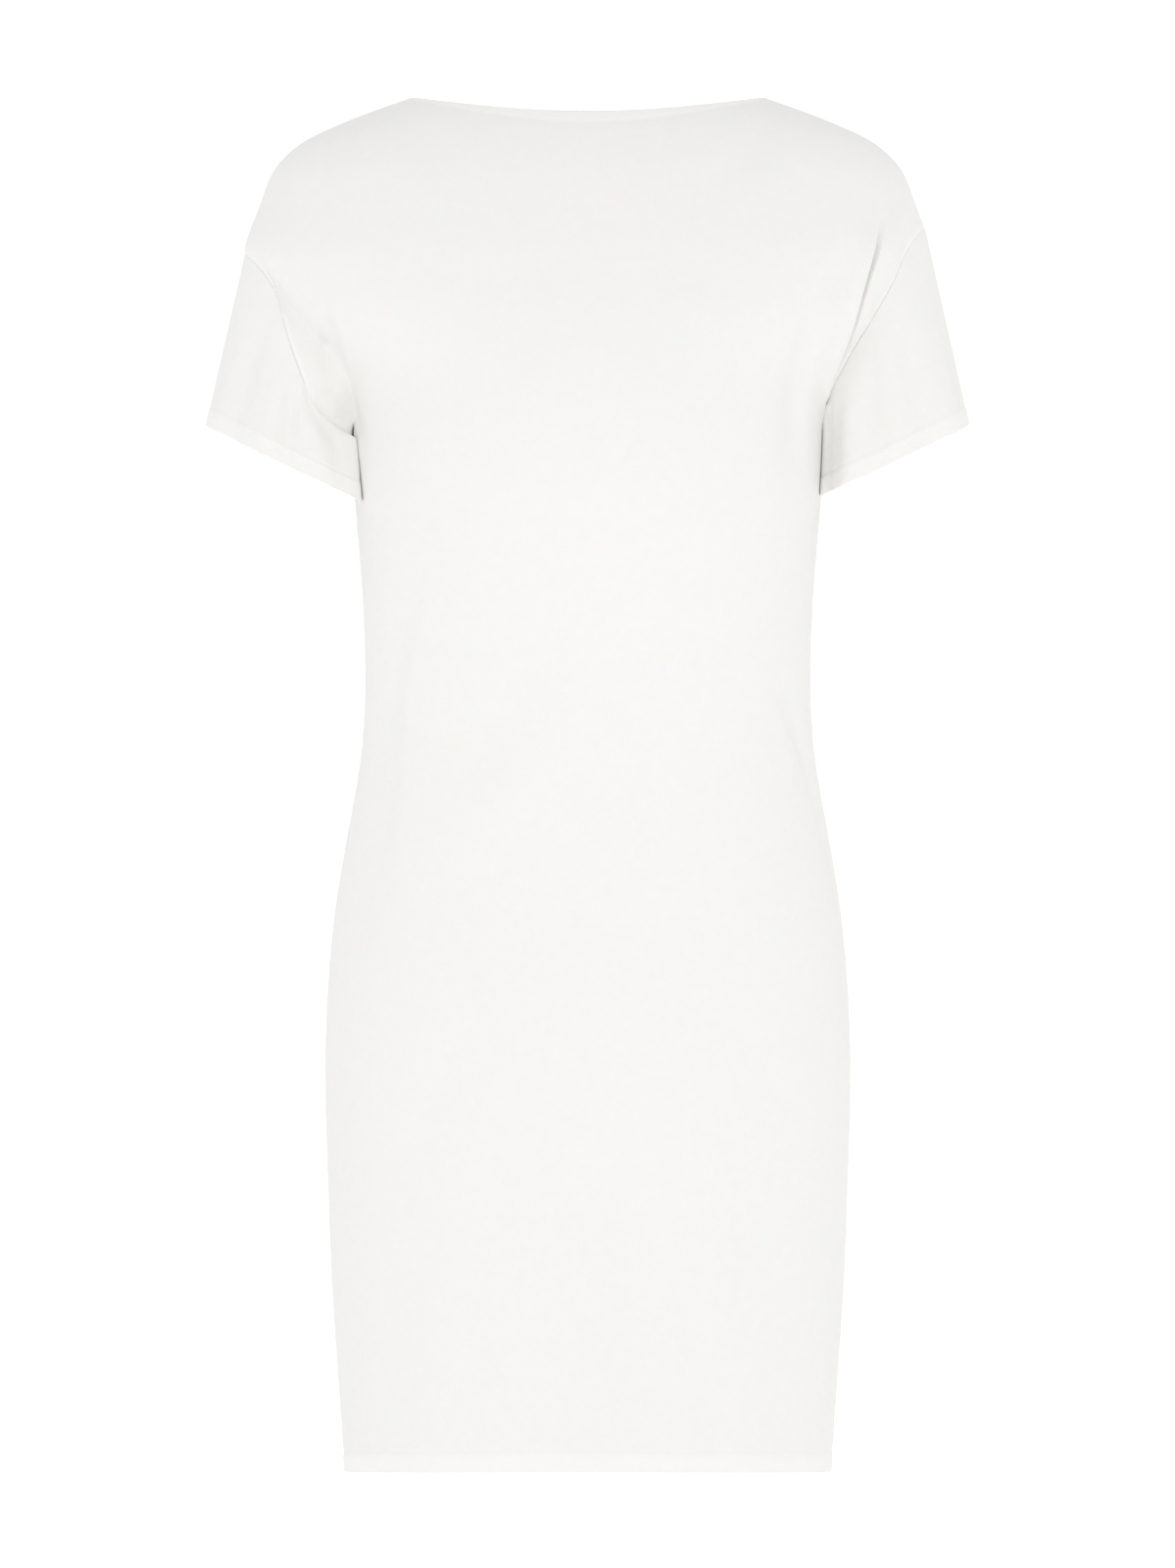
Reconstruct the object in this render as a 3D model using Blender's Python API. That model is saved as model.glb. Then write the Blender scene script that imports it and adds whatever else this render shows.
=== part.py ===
"""A white mini dress, hollow as if worn: front, back and two sleeves, each a thin wall of cloth.

The origin lies on the shoulder line, midway between the two neck points. +Z is up and the front
faces -Y, so +X is the wearer's left. Drops are measured down from the neck points.
"""

from collections import namedtuple
import math

import bpy
import numpy as np

# Driving dimensions, in metres
LENGTH = 0.850
HEM_RISES = {"front": 0.0045, "back": 0.0}
HEM_RISE_REACH = 0.20
NECK_HALF_WIDTH = 0.1105
NECK_DROPS = {"front": 0.0104, "back": 0.0090}
NECK_CURVE = 1.9
UNDERARM_DROP = 0.212

# Cloth
WALL = 0.0015
TURNED_WALL = 0.0025
TURNED_EDGE = 0.011
TURN_STEP = 0.0015
SEAM_GAP = 0.0003
CLOTH_COLOUR = (0.86, 0.855, 0.835, 1.0)
CLOTH_ROUGHNESS = 0.88

# Fineness of the walls
PANEL_COLUMNS = 28
SKIRT_ROWS = 26
YOKE_ROWS = 15
SLEEVE_ROWS = 9
FINE = 181
SIDE_CROWDING = 0.45
SHOULDER_COLUMNS = 8
SHARP_ANGLE = 40.0

# Outline of the body at each drop: half the width, and how far the front and the back stand off the
# plane of the side seams. A power of 2 is an ellipse and a larger one is squarer.
Ring = namedtuple("Ring", "drop half_width front_depth back_depth front_power back_power")
RINGS = (
    Ring(0.0000, 0.1105, 0.0410, 0.0430, 2.20, 2.20),
    Ring(0.0060, 0.1275, 0.0478, 0.0500, 2.20, 2.20),
    Ring(0.0120, 0.1436, 0.0535, 0.0560, 2.20, 2.20),
    Ring(0.0180, 0.1580, 0.0585, 0.0615, 2.20, 2.20),
    Ring(0.0243, 0.1714, 0.0630, 0.0670, 2.20, 2.20),
    Ring(0.0334, 0.1845, 0.0688, 0.0735, 2.20, 2.20),
    Ring(0.0425, 0.1929, 0.0740, 0.0790, 2.20, 2.20),
    Ring(0.0607, 0.2012, 0.0825, 0.0880, 2.20, 2.20),
    Ring(0.0813, 0.2090, 0.0905, 0.0950, 2.20, 2.20),
    Ring(0.0970, 0.2124, 0.0960, 0.0990, 2.22, 2.20),
    Ring(0.1135, 0.2050, 0.1010, 0.1020, 2.25, 2.20),
    Ring(0.1300, 0.1945, 0.1065, 0.1045, 2.28, 2.22),
    Ring(0.1480, 0.1770, 0.1115, 0.1062, 2.30, 2.25),
    Ring(0.1660, 0.1590, 0.1160, 0.1070, 2.32, 2.28),
    Ring(0.1830, 0.1505, 0.1192, 0.1068, 2.35, 2.30),
    Ring(0.2120, 0.1465, 0.1220, 0.1050, 2.38, 2.30),
    Ring(0.2500, 0.1440, 0.1205, 0.1010, 2.40, 2.30),
    Ring(0.3000, 0.1400, 0.1135, 0.0940, 2.38, 2.28),
    Ring(0.3500, 0.1378, 0.1065, 0.0885, 2.35, 2.25),
    Ring(0.4000, 0.1396, 0.1025, 0.0895, 2.32, 2.25),
    Ring(0.4500, 0.1476, 0.1025, 0.0965, 2.30, 2.28),
    Ring(0.5000, 0.1560, 0.1045, 0.1075, 2.30, 2.30),
    Ring(0.5500, 0.1608, 0.1068, 0.1170, 2.32, 2.30),
    Ring(0.6000, 0.1625, 0.1075, 0.1215, 2.34, 2.30),
    Ring(0.6600, 0.1611, 0.1060, 0.1205, 2.36, 2.30),
    Ring(0.7300, 0.1585, 0.1035, 0.1150, 2.38, 2.30),
    Ring(0.7900, 0.1546, 0.1015, 0.1105, 2.38, 2.30),
    Ring(0.8500, 0.1504, 0.0995, 0.1075, 2.38, 2.30),
)

# Armhole seam of each sleeve, from the shoulder down the front to the underarm and up the back. out
# is measured from the middle of the dress, whichever side the sleeve is on.
Seam = namedtuple("Seam", "out y drop")
ARMHOLES = {
    "left": (
        Seam(0.2090, 0.0000, 0.0813),
        Seam(0.2035, -0.0215, 0.0862),
        Seam(0.1955, -0.0345, 0.0985),
        Seam(0.1880, -0.0415, 0.1160),
        Seam(0.1775, -0.0450, 0.1360),
        Seam(0.1660, -0.0430, 0.1560),
        Seam(0.1560, -0.0400, 0.1740),
        Seam(0.1502, -0.0350, 0.1880),
        Seam(0.1475, -0.0220, 0.2015),
        Seam(0.1465, 0.0000, 0.2120),
        Seam(0.1515, 0.0125, 0.2010),
        Seam(0.1590, 0.0265, 0.1830),
        Seam(0.1680, 0.0400, 0.1610),
        Seam(0.1770, 0.0465, 0.1380),
        Seam(0.1865, 0.0450, 0.1160),
        Seam(0.1950, 0.0375, 0.0980),
        Seam(0.2035, 0.0225, 0.0860),
    ),
    "right": (
        Seam(0.2124, 0.0000, 0.0970),
        Seam(0.2085, -0.0190, 0.1000),
        Seam(0.1998, -0.0335, 0.1095),
        Seam(0.1915, -0.0420, 0.1235),
        Seam(0.1868, -0.0470, 0.1420),
        Seam(0.1812, -0.0490, 0.1620),
        Seam(0.1730, -0.0475, 0.1820),
        Seam(0.1620, -0.0452, 0.1980),
        Seam(0.1505, -0.0405, 0.2080),
        Seam(0.1476, -0.0280, 0.2106),
        Seam(0.1475, -0.0130, 0.2118),
        Seam(0.1465, 0.0000, 0.2120),
        Seam(0.1520, 0.0130, 0.2020),
        Seam(0.1600, 0.0275, 0.1850),
        Seam(0.1690, 0.0400, 0.1640),
        Seam(0.1785, 0.0470, 0.1430),
        Seam(0.1880, 0.0455, 0.1235),
        Seam(0.1975, 0.0370, 0.1090),
        Seam(0.2075, 0.0205, 0.1000),
    ),
}
SEAM_PULL = 0.030
SEAM_STEPS = 12

# Edge of each sleeve, from its outer tip over the front to its inner tip and back, and the line that its
# points lie on, seen from the front, where the front hangs a little lower.
CUFF_FRONTS = {
    "left": ((0.2362, 0.0000), (0.2310, -0.0260), (0.2150, -0.0440), (0.1900, -0.0510), (0.1690, -0.0490),
             (0.1558, -0.0420), (0.1440, -0.0300), (0.1449, -0.0160), (0.1451, -0.0020), (0.1452, 0.0100)),
    "right": ((0.2366, 0.0000), (0.2310, -0.0260), (0.2150, -0.0430), (0.1900, -0.0500), (0.1680, -0.0505),
              (0.1505, -0.0480), (0.1424, -0.0385), (0.1448, -0.0220), (0.1457, -0.0100)),
}
CUFF_BACKS = {
    "left": ((0.1455, 0.0210), (0.1545, 0.0380), (0.1750, 0.0480), (0.1990, 0.0490), (0.2220, 0.0370), (0.2330, 0.0190)),
    "right": ((0.1457, 0.0130), (0.1535, 0.0370), (0.1750, 0.0490), (0.1990, 0.0495), (0.2220, 0.0375),
              (0.2335, 0.0190)),
}
CuffLine = namedtuple("CuffLine", "inner_out inner_drop outer_out outer_drop")
CUFF_LINES = {
    "left": CuffLine(0.1445, 0.2452, 0.2362, 0.2022),
    "right": CuffLine(0.1442, 0.2465, 0.2366, 0.2028),
}
CUFF_TILT = 0.03

# Largest folds of the front and back. Each runs straight from one point to another as seen from the
# front, bulges out where height is positive and in where it is negative, and fades over its ends.
Fold = namedtuple("Fold", "start_x start_drop end_x end_drop start_width end_width height fade")
FOLDS = {
    "front": (
        Fold(0.178, 0.090, 0.160, 0.156, 0.012, 0.014, -0.0055, 0.35),
        Fold(0.152, 0.110, 0.126, 0.240, 0.014, 0.022, -0.0045, 0.45),
        Fold(-0.002, 0.330, -0.075, 0.470, 0.030, 0.038, 0.0030, 0.50),
        Fold(0.020, 0.420, -0.040, 0.560, 0.035, 0.045, -0.0022, 0.50),
        Fold(0.112, 0.350, 0.150, 0.520, 0.016, 0.018, -0.0035, 0.45),
        Fold(0.000, 0.640, 0.000, 0.880, 0.020, 0.070, -0.0060, 0.30),
        Fold(-0.108, 0.250, -0.140, 0.560, 0.022, 0.026, -0.0025, 0.50),
    ),
    "back": (
        Fold(0.158, 0.110, 0.126, 0.235, 0.016, 0.022, -0.0048, 0.45),
        Fold(-0.162, 0.115, -0.128, 0.240, 0.016, 0.022, -0.0046, 0.45),
        Fold(-0.085, 0.375, 0.035, 0.400, 0.022, 0.026, -0.0035, 0.50),
        Fold(0.095, 0.350, 0.005, 0.378, 0.018, 0.022, -0.0030, 0.50),
        Fold(0.020, 0.640, 0.045, 0.870, 0.030, 0.055, -0.0045, 0.40),
        Fold(-0.070, 0.650, -0.085, 0.870, 0.026, 0.042, 0.0035, 0.40),
    ),
}

# Folds down each sleeve to its cuff, placed around from the shoulder (0) over the front (0.25) to the
# underarm (0.5). Each begins at start of the way down and grows to its full height.
SleeveFold = namedtuple("SleeveFold", "around start width height")
SLEEVE_FOLDS = {
    "left": (
        SleeveFold(0.150, 0.15, 0.016, -0.0035),
        SleeveFold(0.800, 0.10, 0.018, -0.0035),
        SleeveFold(0.640, 0.10, 0.014, 0.0030),
    ),
    "right": (
        SleeveFold(0.262, 0.10, 0.013, -0.0030),
        SleeveFold(0.130, 0.15, 0.018, -0.0035),
        SleeveFold(0.780, 0.10, 0.018, -0.0035),
        SleeveFold(0.650, 0.10, 0.014, 0.0030),
    ),
}
SLEEVE_FOLD_GROWTH = 0.4

SIDES = {"left": 1.0, "right": -1.0}
FACINGS = {"front": -1.0, "back": 1.0}


def curve_through(knots, values, at):
    """The natural cubic curve through a table's rows, read at the wanted places."""
    knots = np.asarray(knots, float)
    values = np.asarray(values, float)
    step = np.diff(knots)
    slope = np.diff(values) / step
    count = len(knots)
    system = np.eye(count)
    right = np.zeros(count)
    for i in range(1, count - 1):
        system[i, i - 1:i + 2] = step[i - 1], 2.0 * (step[i - 1] + step[i]), step[i]
        right[i] = 6.0 * (slope[i] - slope[i - 1])
    bend = np.linalg.solve(system, right)
    at = np.asarray(at, float)
    i = np.clip(np.searchsorted(knots, at, side="right") - 1, 0, count - 2)
    t = at - knots[i]
    first = slope[i] - step[i] * (2.0 * bend[i] + bend[i + 1]) / 6.0
    return values[i] + t * (first + t * (bend[i] / 2.0 + t * (bend[i + 1] - bend[i]) / (6.0 * step[i])))


def ring(column, drop):
    """One column of the ring table at any drop."""
    return curve_through([row.drop for row in RINGS], [getattr(row, column) for row in RINGS], drop)


def resampled(points, fractions):
    """Points at the given fractions of a polyline's length."""
    steps = np.linalg.norm(np.diff(points, axis=0), axis=1)
    length = np.concatenate([[0.0], np.cumsum(steps)])
    at = np.asarray(fractions) * length[-1]
    return np.stack([np.interp(at, length, points[:, axis]) for axis in range(points.shape[1])], axis=1)


def column_fractions():
    """Fractions across a panel, closer together near the side seams and armholes."""
    even = np.linspace(0.0, 1.0, PANEL_COLUMNS + 1)
    return (1.0 - SIDE_CROWDING) * even + SIDE_CROWDING * (1.0 - np.cos(math.pi * even)) / 2.0


def yoke_fractions(top, up):
    """Fractions across a yoke row, which come to meet the neck points as the rows near the top edge."""
    plain = column_fractions()
    length = np.concatenate([[0.0], np.cumsum(np.linalg.norm(np.diff(top, axis=0), axis=1))])
    neck = length[[FINE - 1, -FINE]] / length[-1]
    shoulder = [0.0, plain[SHOULDER_COLUMNS], plain[-1 - SHOULDER_COLUMNS], 1.0]
    met = np.interp(plain, shoulder, [0.0, neck[0], neck[1], 1.0])
    return (1.0 - up) * plain + up * met


def body_depth(panel, x, drop):
    """How far the panel's form stands off the side-seam plane at this x and drop."""
    power = ring(panel + "_power", drop)
    across = np.clip(np.abs(x) / ring("half_width", drop), 0.0, 1.0)
    return ring(panel + "_depth", drop) * (1.0 - across ** power) ** (1.0 / power)


def body_points(panel, x, drop):
    """Points of the panel's form."""
    return np.stack([x, FACINGS[panel] * body_depth(panel, x, drop), -np.asarray(drop)], axis=-1)


def skirt_row(panel, drop, rise):
    """One level outline of the panel from the wearer's right side seam to the left, lifted in the middle."""
    angle = np.linspace(math.pi, 0.0, FINE)
    power = ring(panel + "_power", drop)
    cosine = np.cos(angle)
    sine = np.clip(np.sin(angle), 0.0, 1.0)
    x = ring("half_width", drop) * np.sign(cosine) * np.abs(cosine) ** (2.0 / power)
    y = FACINGS[panel] * ring(panel + "_depth", drop) * sine ** (2.0 / power)
    return np.stack([x, y, rise * sine - drop], axis=-1)


def neck_drop(panel, x):
    """Drop of the neck edge, which dips gently between the neck points."""
    return NECK_DROPS[panel] * (1.0 - np.clip(np.abs(x) / NECK_HALF_WIDTH, 0.0, 1.0) ** NECK_CURVE)


def top_edge(panel):
    """x and drop along the shoulder seam, the neck edge and the other shoulder seam."""
    runs = []
    for side in ("right", "left"):
        drop = np.linspace(ARMHOLES[side][0].drop, 0.0, FINE)
        x = SIDES[side] * ring("half_width", drop)
        runs.append(np.stack([x, drop], axis=1))
    x = np.linspace(-NECK_HALF_WIDTH, NECK_HALF_WIDTH, FINE)[1:-1]
    neck = np.stack([x, neck_drop(panel, x)], axis=1)
    return np.concatenate([runs[0], neck, runs[1][::-1]])


def closed_curve(rows):
    """A smooth closed line through a table's rows, in SEAM_STEPS steps between each two."""
    count = len(rows)
    points = []
    for i in range(count):
        p0, p1, p2, p3 = (rows[(i + k) % count] for k in (-1, 0, 1, 2))
        for t in np.linspace(0.0, 1.0, SEAM_STEPS, endpoint=False):
            bend = 2.0 * p0 - 5.0 * p1 + 4.0 * p2 - p3
            twist = 3.0 * p1 - p0 - 3.0 * p2 + p3
            points.append(p1 + 0.5 * t * ((p2 - p0) + t * (bend + t * twist)))
    return np.array(points)


def armhole_loop(side):
    """The armhole seam as a closed line, and where its underarm point is."""
    loop = closed_curve(np.array([(SIDES[side] * row.out, row.y, -row.drop) for row in ARMHOLES[side]]))
    return loop, int(np.argmin(loop[:, 2]))


def armhole_half(side, panel):
    """The panel's part of the armhole seam, from the underarm up to the shoulder."""
    loop, underarm = armhole_loop(side)
    if panel == "front":
        half = loop[:underarm + 1][::-1]
    else:
        half = np.concatenate([loop[underarm:], loop[:1]])
    return resampled(half, np.linspace(0.0, 1.0, YOKE_ROWS + 1))


def width_at(panel, y, drop):
    """Half the width of the panel's form where it lies y off the side-seam plane."""
    power = ring(panel + "_power", drop)
    off = np.clip(np.abs(y) / ring(panel + "_depth", drop), 0.0, 1.0)
    return ring("half_width", drop) * (1.0 - off ** power) ** (1.0 / power)


def yoke_rows(panel):
    """Rows from the underarm up to the shoulder seams and neck edge, between the two armholes."""
    across = np.linspace(0.0, 1.0, FINE)
    bottom = resampled(skirt_row(panel, UNDERARM_DROP, 0.0), across)[:, [0, 2]] * (1.0, -1.0)
    edge = top_edge(panel)
    edge_points = body_points(panel, edge[:, 0], edge[:, 1])
    top = resampled(edge, across)
    seams = {side: armhole_half(side, panel) for side in SIDES}
    rows = []
    for k in range(1, YOKE_ROWS):
        up = 1.0 - (1.0 - k / YOKE_ROWS) ** 2
        plain = (1.0 - up) * bottom + up * top
        level = plain.copy()
        for side, weight, corner in (("right", 1.0 - across, plain[0]), ("left", across, plain[-1])):
            x, y, z = seams[side][k]
            end = np.array([SIDES[side] * width_at(panel, y, -z), -z])
            level += weight[:, None] * (end - corner)
        row = body_points(panel, level[:, 0], level[:, 1])
        row = pulled_to(row, seams["right"][k], seams["left"][k])
        rows.append(resampled(row, yoke_fractions(edge_points, up ** 2)))
    rows.append(resampled(edge_points, yoke_fractions(edge_points, 1.0)))
    return rows


def pulled_to(row, first, last):
    """A row whose two ends are drawn onto the armhole seams, and the cloth near them with it."""
    steps = np.linalg.norm(np.diff(row, axis=0), axis=1)
    length = np.concatenate([[0.0], np.cumsum(steps)])
    moved = row.copy()
    for end, corner, away in ((first, row[0], length), (last, row[-1], length[-1] - length)):
        moved = moved + falloff(away, SEAM_PULL)[:, None] * (end - corner)
    return moved


def skirt_rows(panel):
    """Rows from the hem up to the underarm, with one pair close together where the hem is turned."""
    above = LENGTH - TURNED_EDGE - TURN_STEP
    drops = [LENGTH, LENGTH - TURNED_EDGE] + list(np.linspace(above, UNDERARM_DROP, SKIRT_ROWS - 1))
    rows = []
    for drop in drops:
        near_hem = np.clip(1.0 - (above - drop) / HEM_RISE_REACH, 0.0, 1.0)
        lift = HEM_RISES[panel] * near_hem ** 2
        rows.append(resampled(skirt_row(panel, drop, lift), column_fractions()))
    return rows


def grid_normals(grid, outward, wraps=False):
    """Unit normals of a grid, on the side that outward points to in its middle, or on top of a sleeve."""
    up = np.gradient(grid, axis=0)
    if wraps:
        padded = np.concatenate([grid[:, -1:], grid, grid[:, :1]], axis=1)
        along = (padded[:, 2:] - padded[:, :-2]) / 2.0
    else:
        along = np.gradient(grid, axis=1)
    normals = np.cross(along, up)
    normals /= np.linalg.norm(normals, axis=2, keepdims=True)
    compared = normals[grid.shape[0] // 2, 0 if wraps else grid.shape[1] // 2]
    return normals if np.dot(compared, outward) > 0.0 else -normals


def falloff(distance, width):
    """1 on a fold's line, falling smoothly to 0 at its width."""
    near = np.clip(1.0 - distance / width, 0.0, 1.0)
    return near ** 2 * (3.0 - 2.0 * near)


def fold_relief(points, fold):
    """How far one fold moves each point of a panel out or in, by its place as seen from the front."""
    start = np.array([fold.start_x, -fold.start_drop])
    run = np.array([fold.end_x, -fold.end_drop]) - start
    off = points[..., [0, 2]] - start
    along = np.clip((off @ run) / (run @ run), 0.0, 1.0)
    distance = np.linalg.norm(off - along[..., None] * run, axis=-1)
    width = fold.start_width + along * (fold.end_width - fold.start_width)
    ends = np.clip(np.minimum(along, 1.0 - along) / fold.fade, 0.0, 1.0)
    return fold.height * falloff(distance, width) * ends * (2.0 - ends)


def across_seam(side):
    """Unit direction through the armhole, from the body out into the sleeve."""
    loop, _ = armhole_loop(side)
    area = np.cross(loop, np.roll(loop, -1, axis=0)).sum(axis=0)
    area /= np.linalg.norm(area)
    return area if area[0] * SIDES[side] > 0 else -area


def kept_to(normals, through):
    """Normals whose inward side doesn't cross the seam that lies ahead in direction through."""
    ahead = np.minimum(normals @ through, 0.0)
    kept = normals - ahead[..., None] * through
    return kept / np.linalg.norm(kept, axis=-1, keepdims=True)


def panel_thickness(panel, points):
    """The wall's thickness, more where the hem and the neck edge are turned in."""
    drop = -points[..., 2]
    in_hem = drop > LENGTH - HEM_RISES[panel] - TURNED_EDGE - TURN_STEP / 2.0
    in_neck = (np.abs(points[..., 0]) < NECK_HALF_WIDTH) & (
        drop < neck_drop(panel, points[..., 0]) + TURNED_EDGE / 2.0)
    return np.where(in_hem | in_neck, TURNED_WALL, WALL)


def panel_grids(panel):
    """Outer and inner points of the front or back, from the hem up."""
    facing = FACINGS[panel]
    outer = np.array(skirt_rows(panel) + yoke_rows(panel))
    normals = grid_normals(outer, (0.0, facing, 0.0))
    relief = sum(fold_relief(outer, fold) for fold in FOLDS[panel])
    relief[:, [0, -1]] = 0.0
    relief[-1] = 0.0
    outer = outer + normals * relief[..., None]
    normals = grid_normals(outer, (0.0, facing, 0.0))
    on_seam = np.abs(outer[..., 1]) < SEAM_GAP / 2.0
    outer[..., 1] = np.where(on_seam, facing * SEAM_GAP / 2.0, outer[..., 1])
    normals[..., 1] = np.where(on_seam, 0.0, normals[..., 1])
    normals /= np.linalg.norm(normals, axis=2, keepdims=True)
    first = len(outer) - YOKE_ROWS
    normals[first:-1, 0] = kept_to(normals[first:-1, 0], across_seam("right"))
    normals[first:-1, -1] = kept_to(normals[first:-1, -1], across_seam("left"))
    inner = outer - normals * panel_thickness(panel, outer)[..., None]
    return outer, inner


def cuff_loop(side):
    """The flat edge of a sleeve, in as many steps over its front and over its back as the armhole."""
    line = CUFF_LINES[side]
    fronts = CUFF_FRONTS[side]
    loop = closed_curve(np.array(fronts + CUFF_BACKS[side]))
    slope = (line.outer_drop - line.inner_drop) / (line.outer_out - line.inner_out)
    drop = line.inner_drop + slope * (loop[:, 0] - line.inner_out) - CUFF_TILT * loop[:, 1]
    loop = np.stack([SIDES[side] * loop[:, 0], loop[:, 1], -drop], axis=1)
    tip = (len(fronts) - 1) * SEAM_STEPS
    even = np.linspace(0.0, 1.0, YOKE_ROWS + 1)
    front = resampled(loop[:tip + 1], even)
    back = resampled(np.concatenate([loop[tip:], loop[:1]]), even)
    return np.concatenate([front[:-1], back[:-1]])


def sleeve_stations(length):
    """How far down each line of the sleeve its rows lie, with a close pair where the cuff is turned."""
    turn = 1.0 - TURNED_EDGE / length
    rows = [share * turn for share in np.linspace(0.0, 1.0, SLEEVE_ROWS)]
    return np.array(rows + [turn + TURN_STEP / length, np.ones_like(length)])


def sleeve_grids(side):
    """Outer and inner points of a sleeve, from the armhole down to the cuff."""
    through = across_seam(side)
    front = armhole_half(side, "front")[::-1]
    back = armhole_half(side, "back")
    start = np.concatenate([front[:-1], back[:-1]]) + through * SEAM_GAP
    end = cuff_loop(side)
    stations = sleeve_stations(np.linalg.norm(end - start, axis=1))
    outer = start + stations[..., None] * (end - start)
    halfway = len(outer) // 2
    outward = outer[halfway, 0] - outer[halfway].mean(axis=0)
    normals = grid_normals(outer, outward, wraps=True)
    outer = outer + normals * sleeve_relief(side, outer, stations)[..., None]
    normals = grid_normals(outer, outward, wraps=True)
    normals[0] = kept_to(normals[0], -through)
    thickness = np.full(len(outer), WALL)
    thickness[SLEEVE_ROWS:] = TURNED_WALL
    return outer, outer - normals * thickness[:, None, None]


def sleeve_relief(side, outer, stations):
    """How far the sleeve's folds move each of its points."""
    around = np.arange(outer.shape[1]) / outer.shape[1]
    girth = np.linalg.norm(outer[-1] - np.roll(outer[-1], 1, axis=0), axis=1).sum()
    relief = np.zeros(outer.shape[:2])
    for fold in SLEEVE_FOLDS[side]:
        apart = np.abs(around - fold.around)
        apart = np.minimum(apart, 1.0 - apart) * girth
        reach = np.clip((stations - fold.start) / SLEEVE_FOLD_GROWTH, 0.0, 1.0)
        relief += fold.height * reach * falloff(apart, fold.width)
    return relief


def wall_mesh(name, outer, inner, wraps):
    """A closed wall between two grids of points, with a rim around its open edges."""
    rows, columns = outer.shape[:2]
    points = np.concatenate([outer.reshape(-1, 3), inner.reshape(-1, 3)])
    total = rows * columns
    last = columns if wraps else columns - 1
    faces = []

    def corner(layer, i, j):
        return layer * total + i * columns + j % columns

    for i in range(rows - 1):
        for j in range(last):
            for layer in (0, 1):
                patch = [corner(layer, i, j), corner(layer, i, j + 1),
                         corner(layer, i + 1, j + 1), corner(layer, i + 1, j)]
                faces.append(patch if layer == 0 else patch[::-1])
    for j in range(last):
        for i, turned in ((0, False), (rows - 1, True)):
            rim = [corner(0, i, j), corner(1, i, j), corner(1, i, j + 1), corner(0, i, j + 1)]
            faces.append(rim[::-1] if turned else rim)
    if not wraps:
        for i in range(rows - 1):
            for j, turned in ((0, True), (columns - 1, False)):
                rim = [corner(0, i, j), corner(1, i, j), corner(1, i + 1, j), corner(0, i + 1, j)]
                faces.append(rim[::-1] if turned else rim)
    mesh = bpy.data.meshes.new(name)
    mesh.from_pydata([tuple(point) for point in points], [], faces)
    if signed_volume(points, faces) < 0.0:
        mesh.flip_normals()
    mesh.shade_smooth()
    mesh.set_sharp_from_angle(angle=math.radians(SHARP_ANGLE))
    return mesh


def signed_volume(points, faces):
    """Positive when the faces of a closed mesh point out."""
    total = 0.0
    for face in faces:
        a, b, c, d = (points[k] for k in face)
        total += np.dot(a, np.cross(b, c)) + np.dot(a, np.cross(c, d))
    return total


def cloth_material(name):
    """Matt white cloth for one piece."""
    material = bpy.data.materials.new(name)
    material.use_nodes = True
    shader = material.node_tree.nodes["Principled BSDF"]
    shader.inputs["Base Color"].default_value = CLOTH_COLOUR
    shader.inputs["Roughness"].default_value = CLOTH_ROUGHNESS
    shader.inputs["Metallic"].default_value = 0.0
    return material


def add_piece(name, grids, wraps, collection, parent):
    """One piece of the dress as a named object with its own material."""
    outer, inner = grids
    piece = bpy.data.objects.new(name, wall_mesh(name, outer, inner, wraps))
    piece.data.materials.append(cloth_material(name + "_cloth"))
    collection.objects.link(piece)
    piece.parent = parent
    return piece


def main():
    for old in list(bpy.data.objects):
        bpy.data.objects.remove(old, do_unlink=True)
    collection = bpy.data.collections.new("mini_dress")
    bpy.context.scene.collection.children.link(collection)
    shoulders = bpy.data.objects.new("shoulder_line", None)
    collection.objects.link(shoulders)
    for panel in FACINGS:
        add_piece(panel, panel_grids(panel), False, collection, shoulders)
    for side in SIDES:
        add_piece("sleeve_" + side, sleeve_grids(side), True, collection, shoulders)


main()
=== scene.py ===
"""The looks of a white mini dress, hollow as if worn: front, back and two sleeves of thin sewn cloth.

Everything is in metres, +Z is up and the front faces -Y. The origin lies on the shoulder line, midway
between the two neck points, and drops are measured down from it. Left and right are the wearer's.
"""

from collections import namedtuple
import math

import bpy
import numpy as np
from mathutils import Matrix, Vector


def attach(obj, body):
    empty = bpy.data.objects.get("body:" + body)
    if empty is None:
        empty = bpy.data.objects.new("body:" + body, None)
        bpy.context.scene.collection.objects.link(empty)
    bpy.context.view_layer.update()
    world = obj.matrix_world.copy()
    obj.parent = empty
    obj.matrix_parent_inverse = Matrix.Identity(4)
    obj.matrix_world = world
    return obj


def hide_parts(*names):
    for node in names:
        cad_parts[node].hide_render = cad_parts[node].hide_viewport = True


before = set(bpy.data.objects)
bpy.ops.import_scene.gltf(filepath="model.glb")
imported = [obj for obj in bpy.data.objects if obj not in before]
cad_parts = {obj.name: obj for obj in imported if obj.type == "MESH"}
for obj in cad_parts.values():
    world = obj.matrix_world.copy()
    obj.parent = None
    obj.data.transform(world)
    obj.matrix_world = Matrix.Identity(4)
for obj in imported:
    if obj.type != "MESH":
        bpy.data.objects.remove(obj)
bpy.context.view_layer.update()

# The cut, in metres
LENGTH = 0.850
HEM_RISES = {"front": 0.0045, "back": 0.0}
HEM_RISE_REACH = 0.20
NECK_HALF_WIDTH = 0.1105
NECK_DROPS = {"front": 0.0104, "back": 0.0090}
NECK_CURVE = 1.9
UNDERARM_DROP = 0.212
SEAM_GAP = 0.00006

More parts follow.
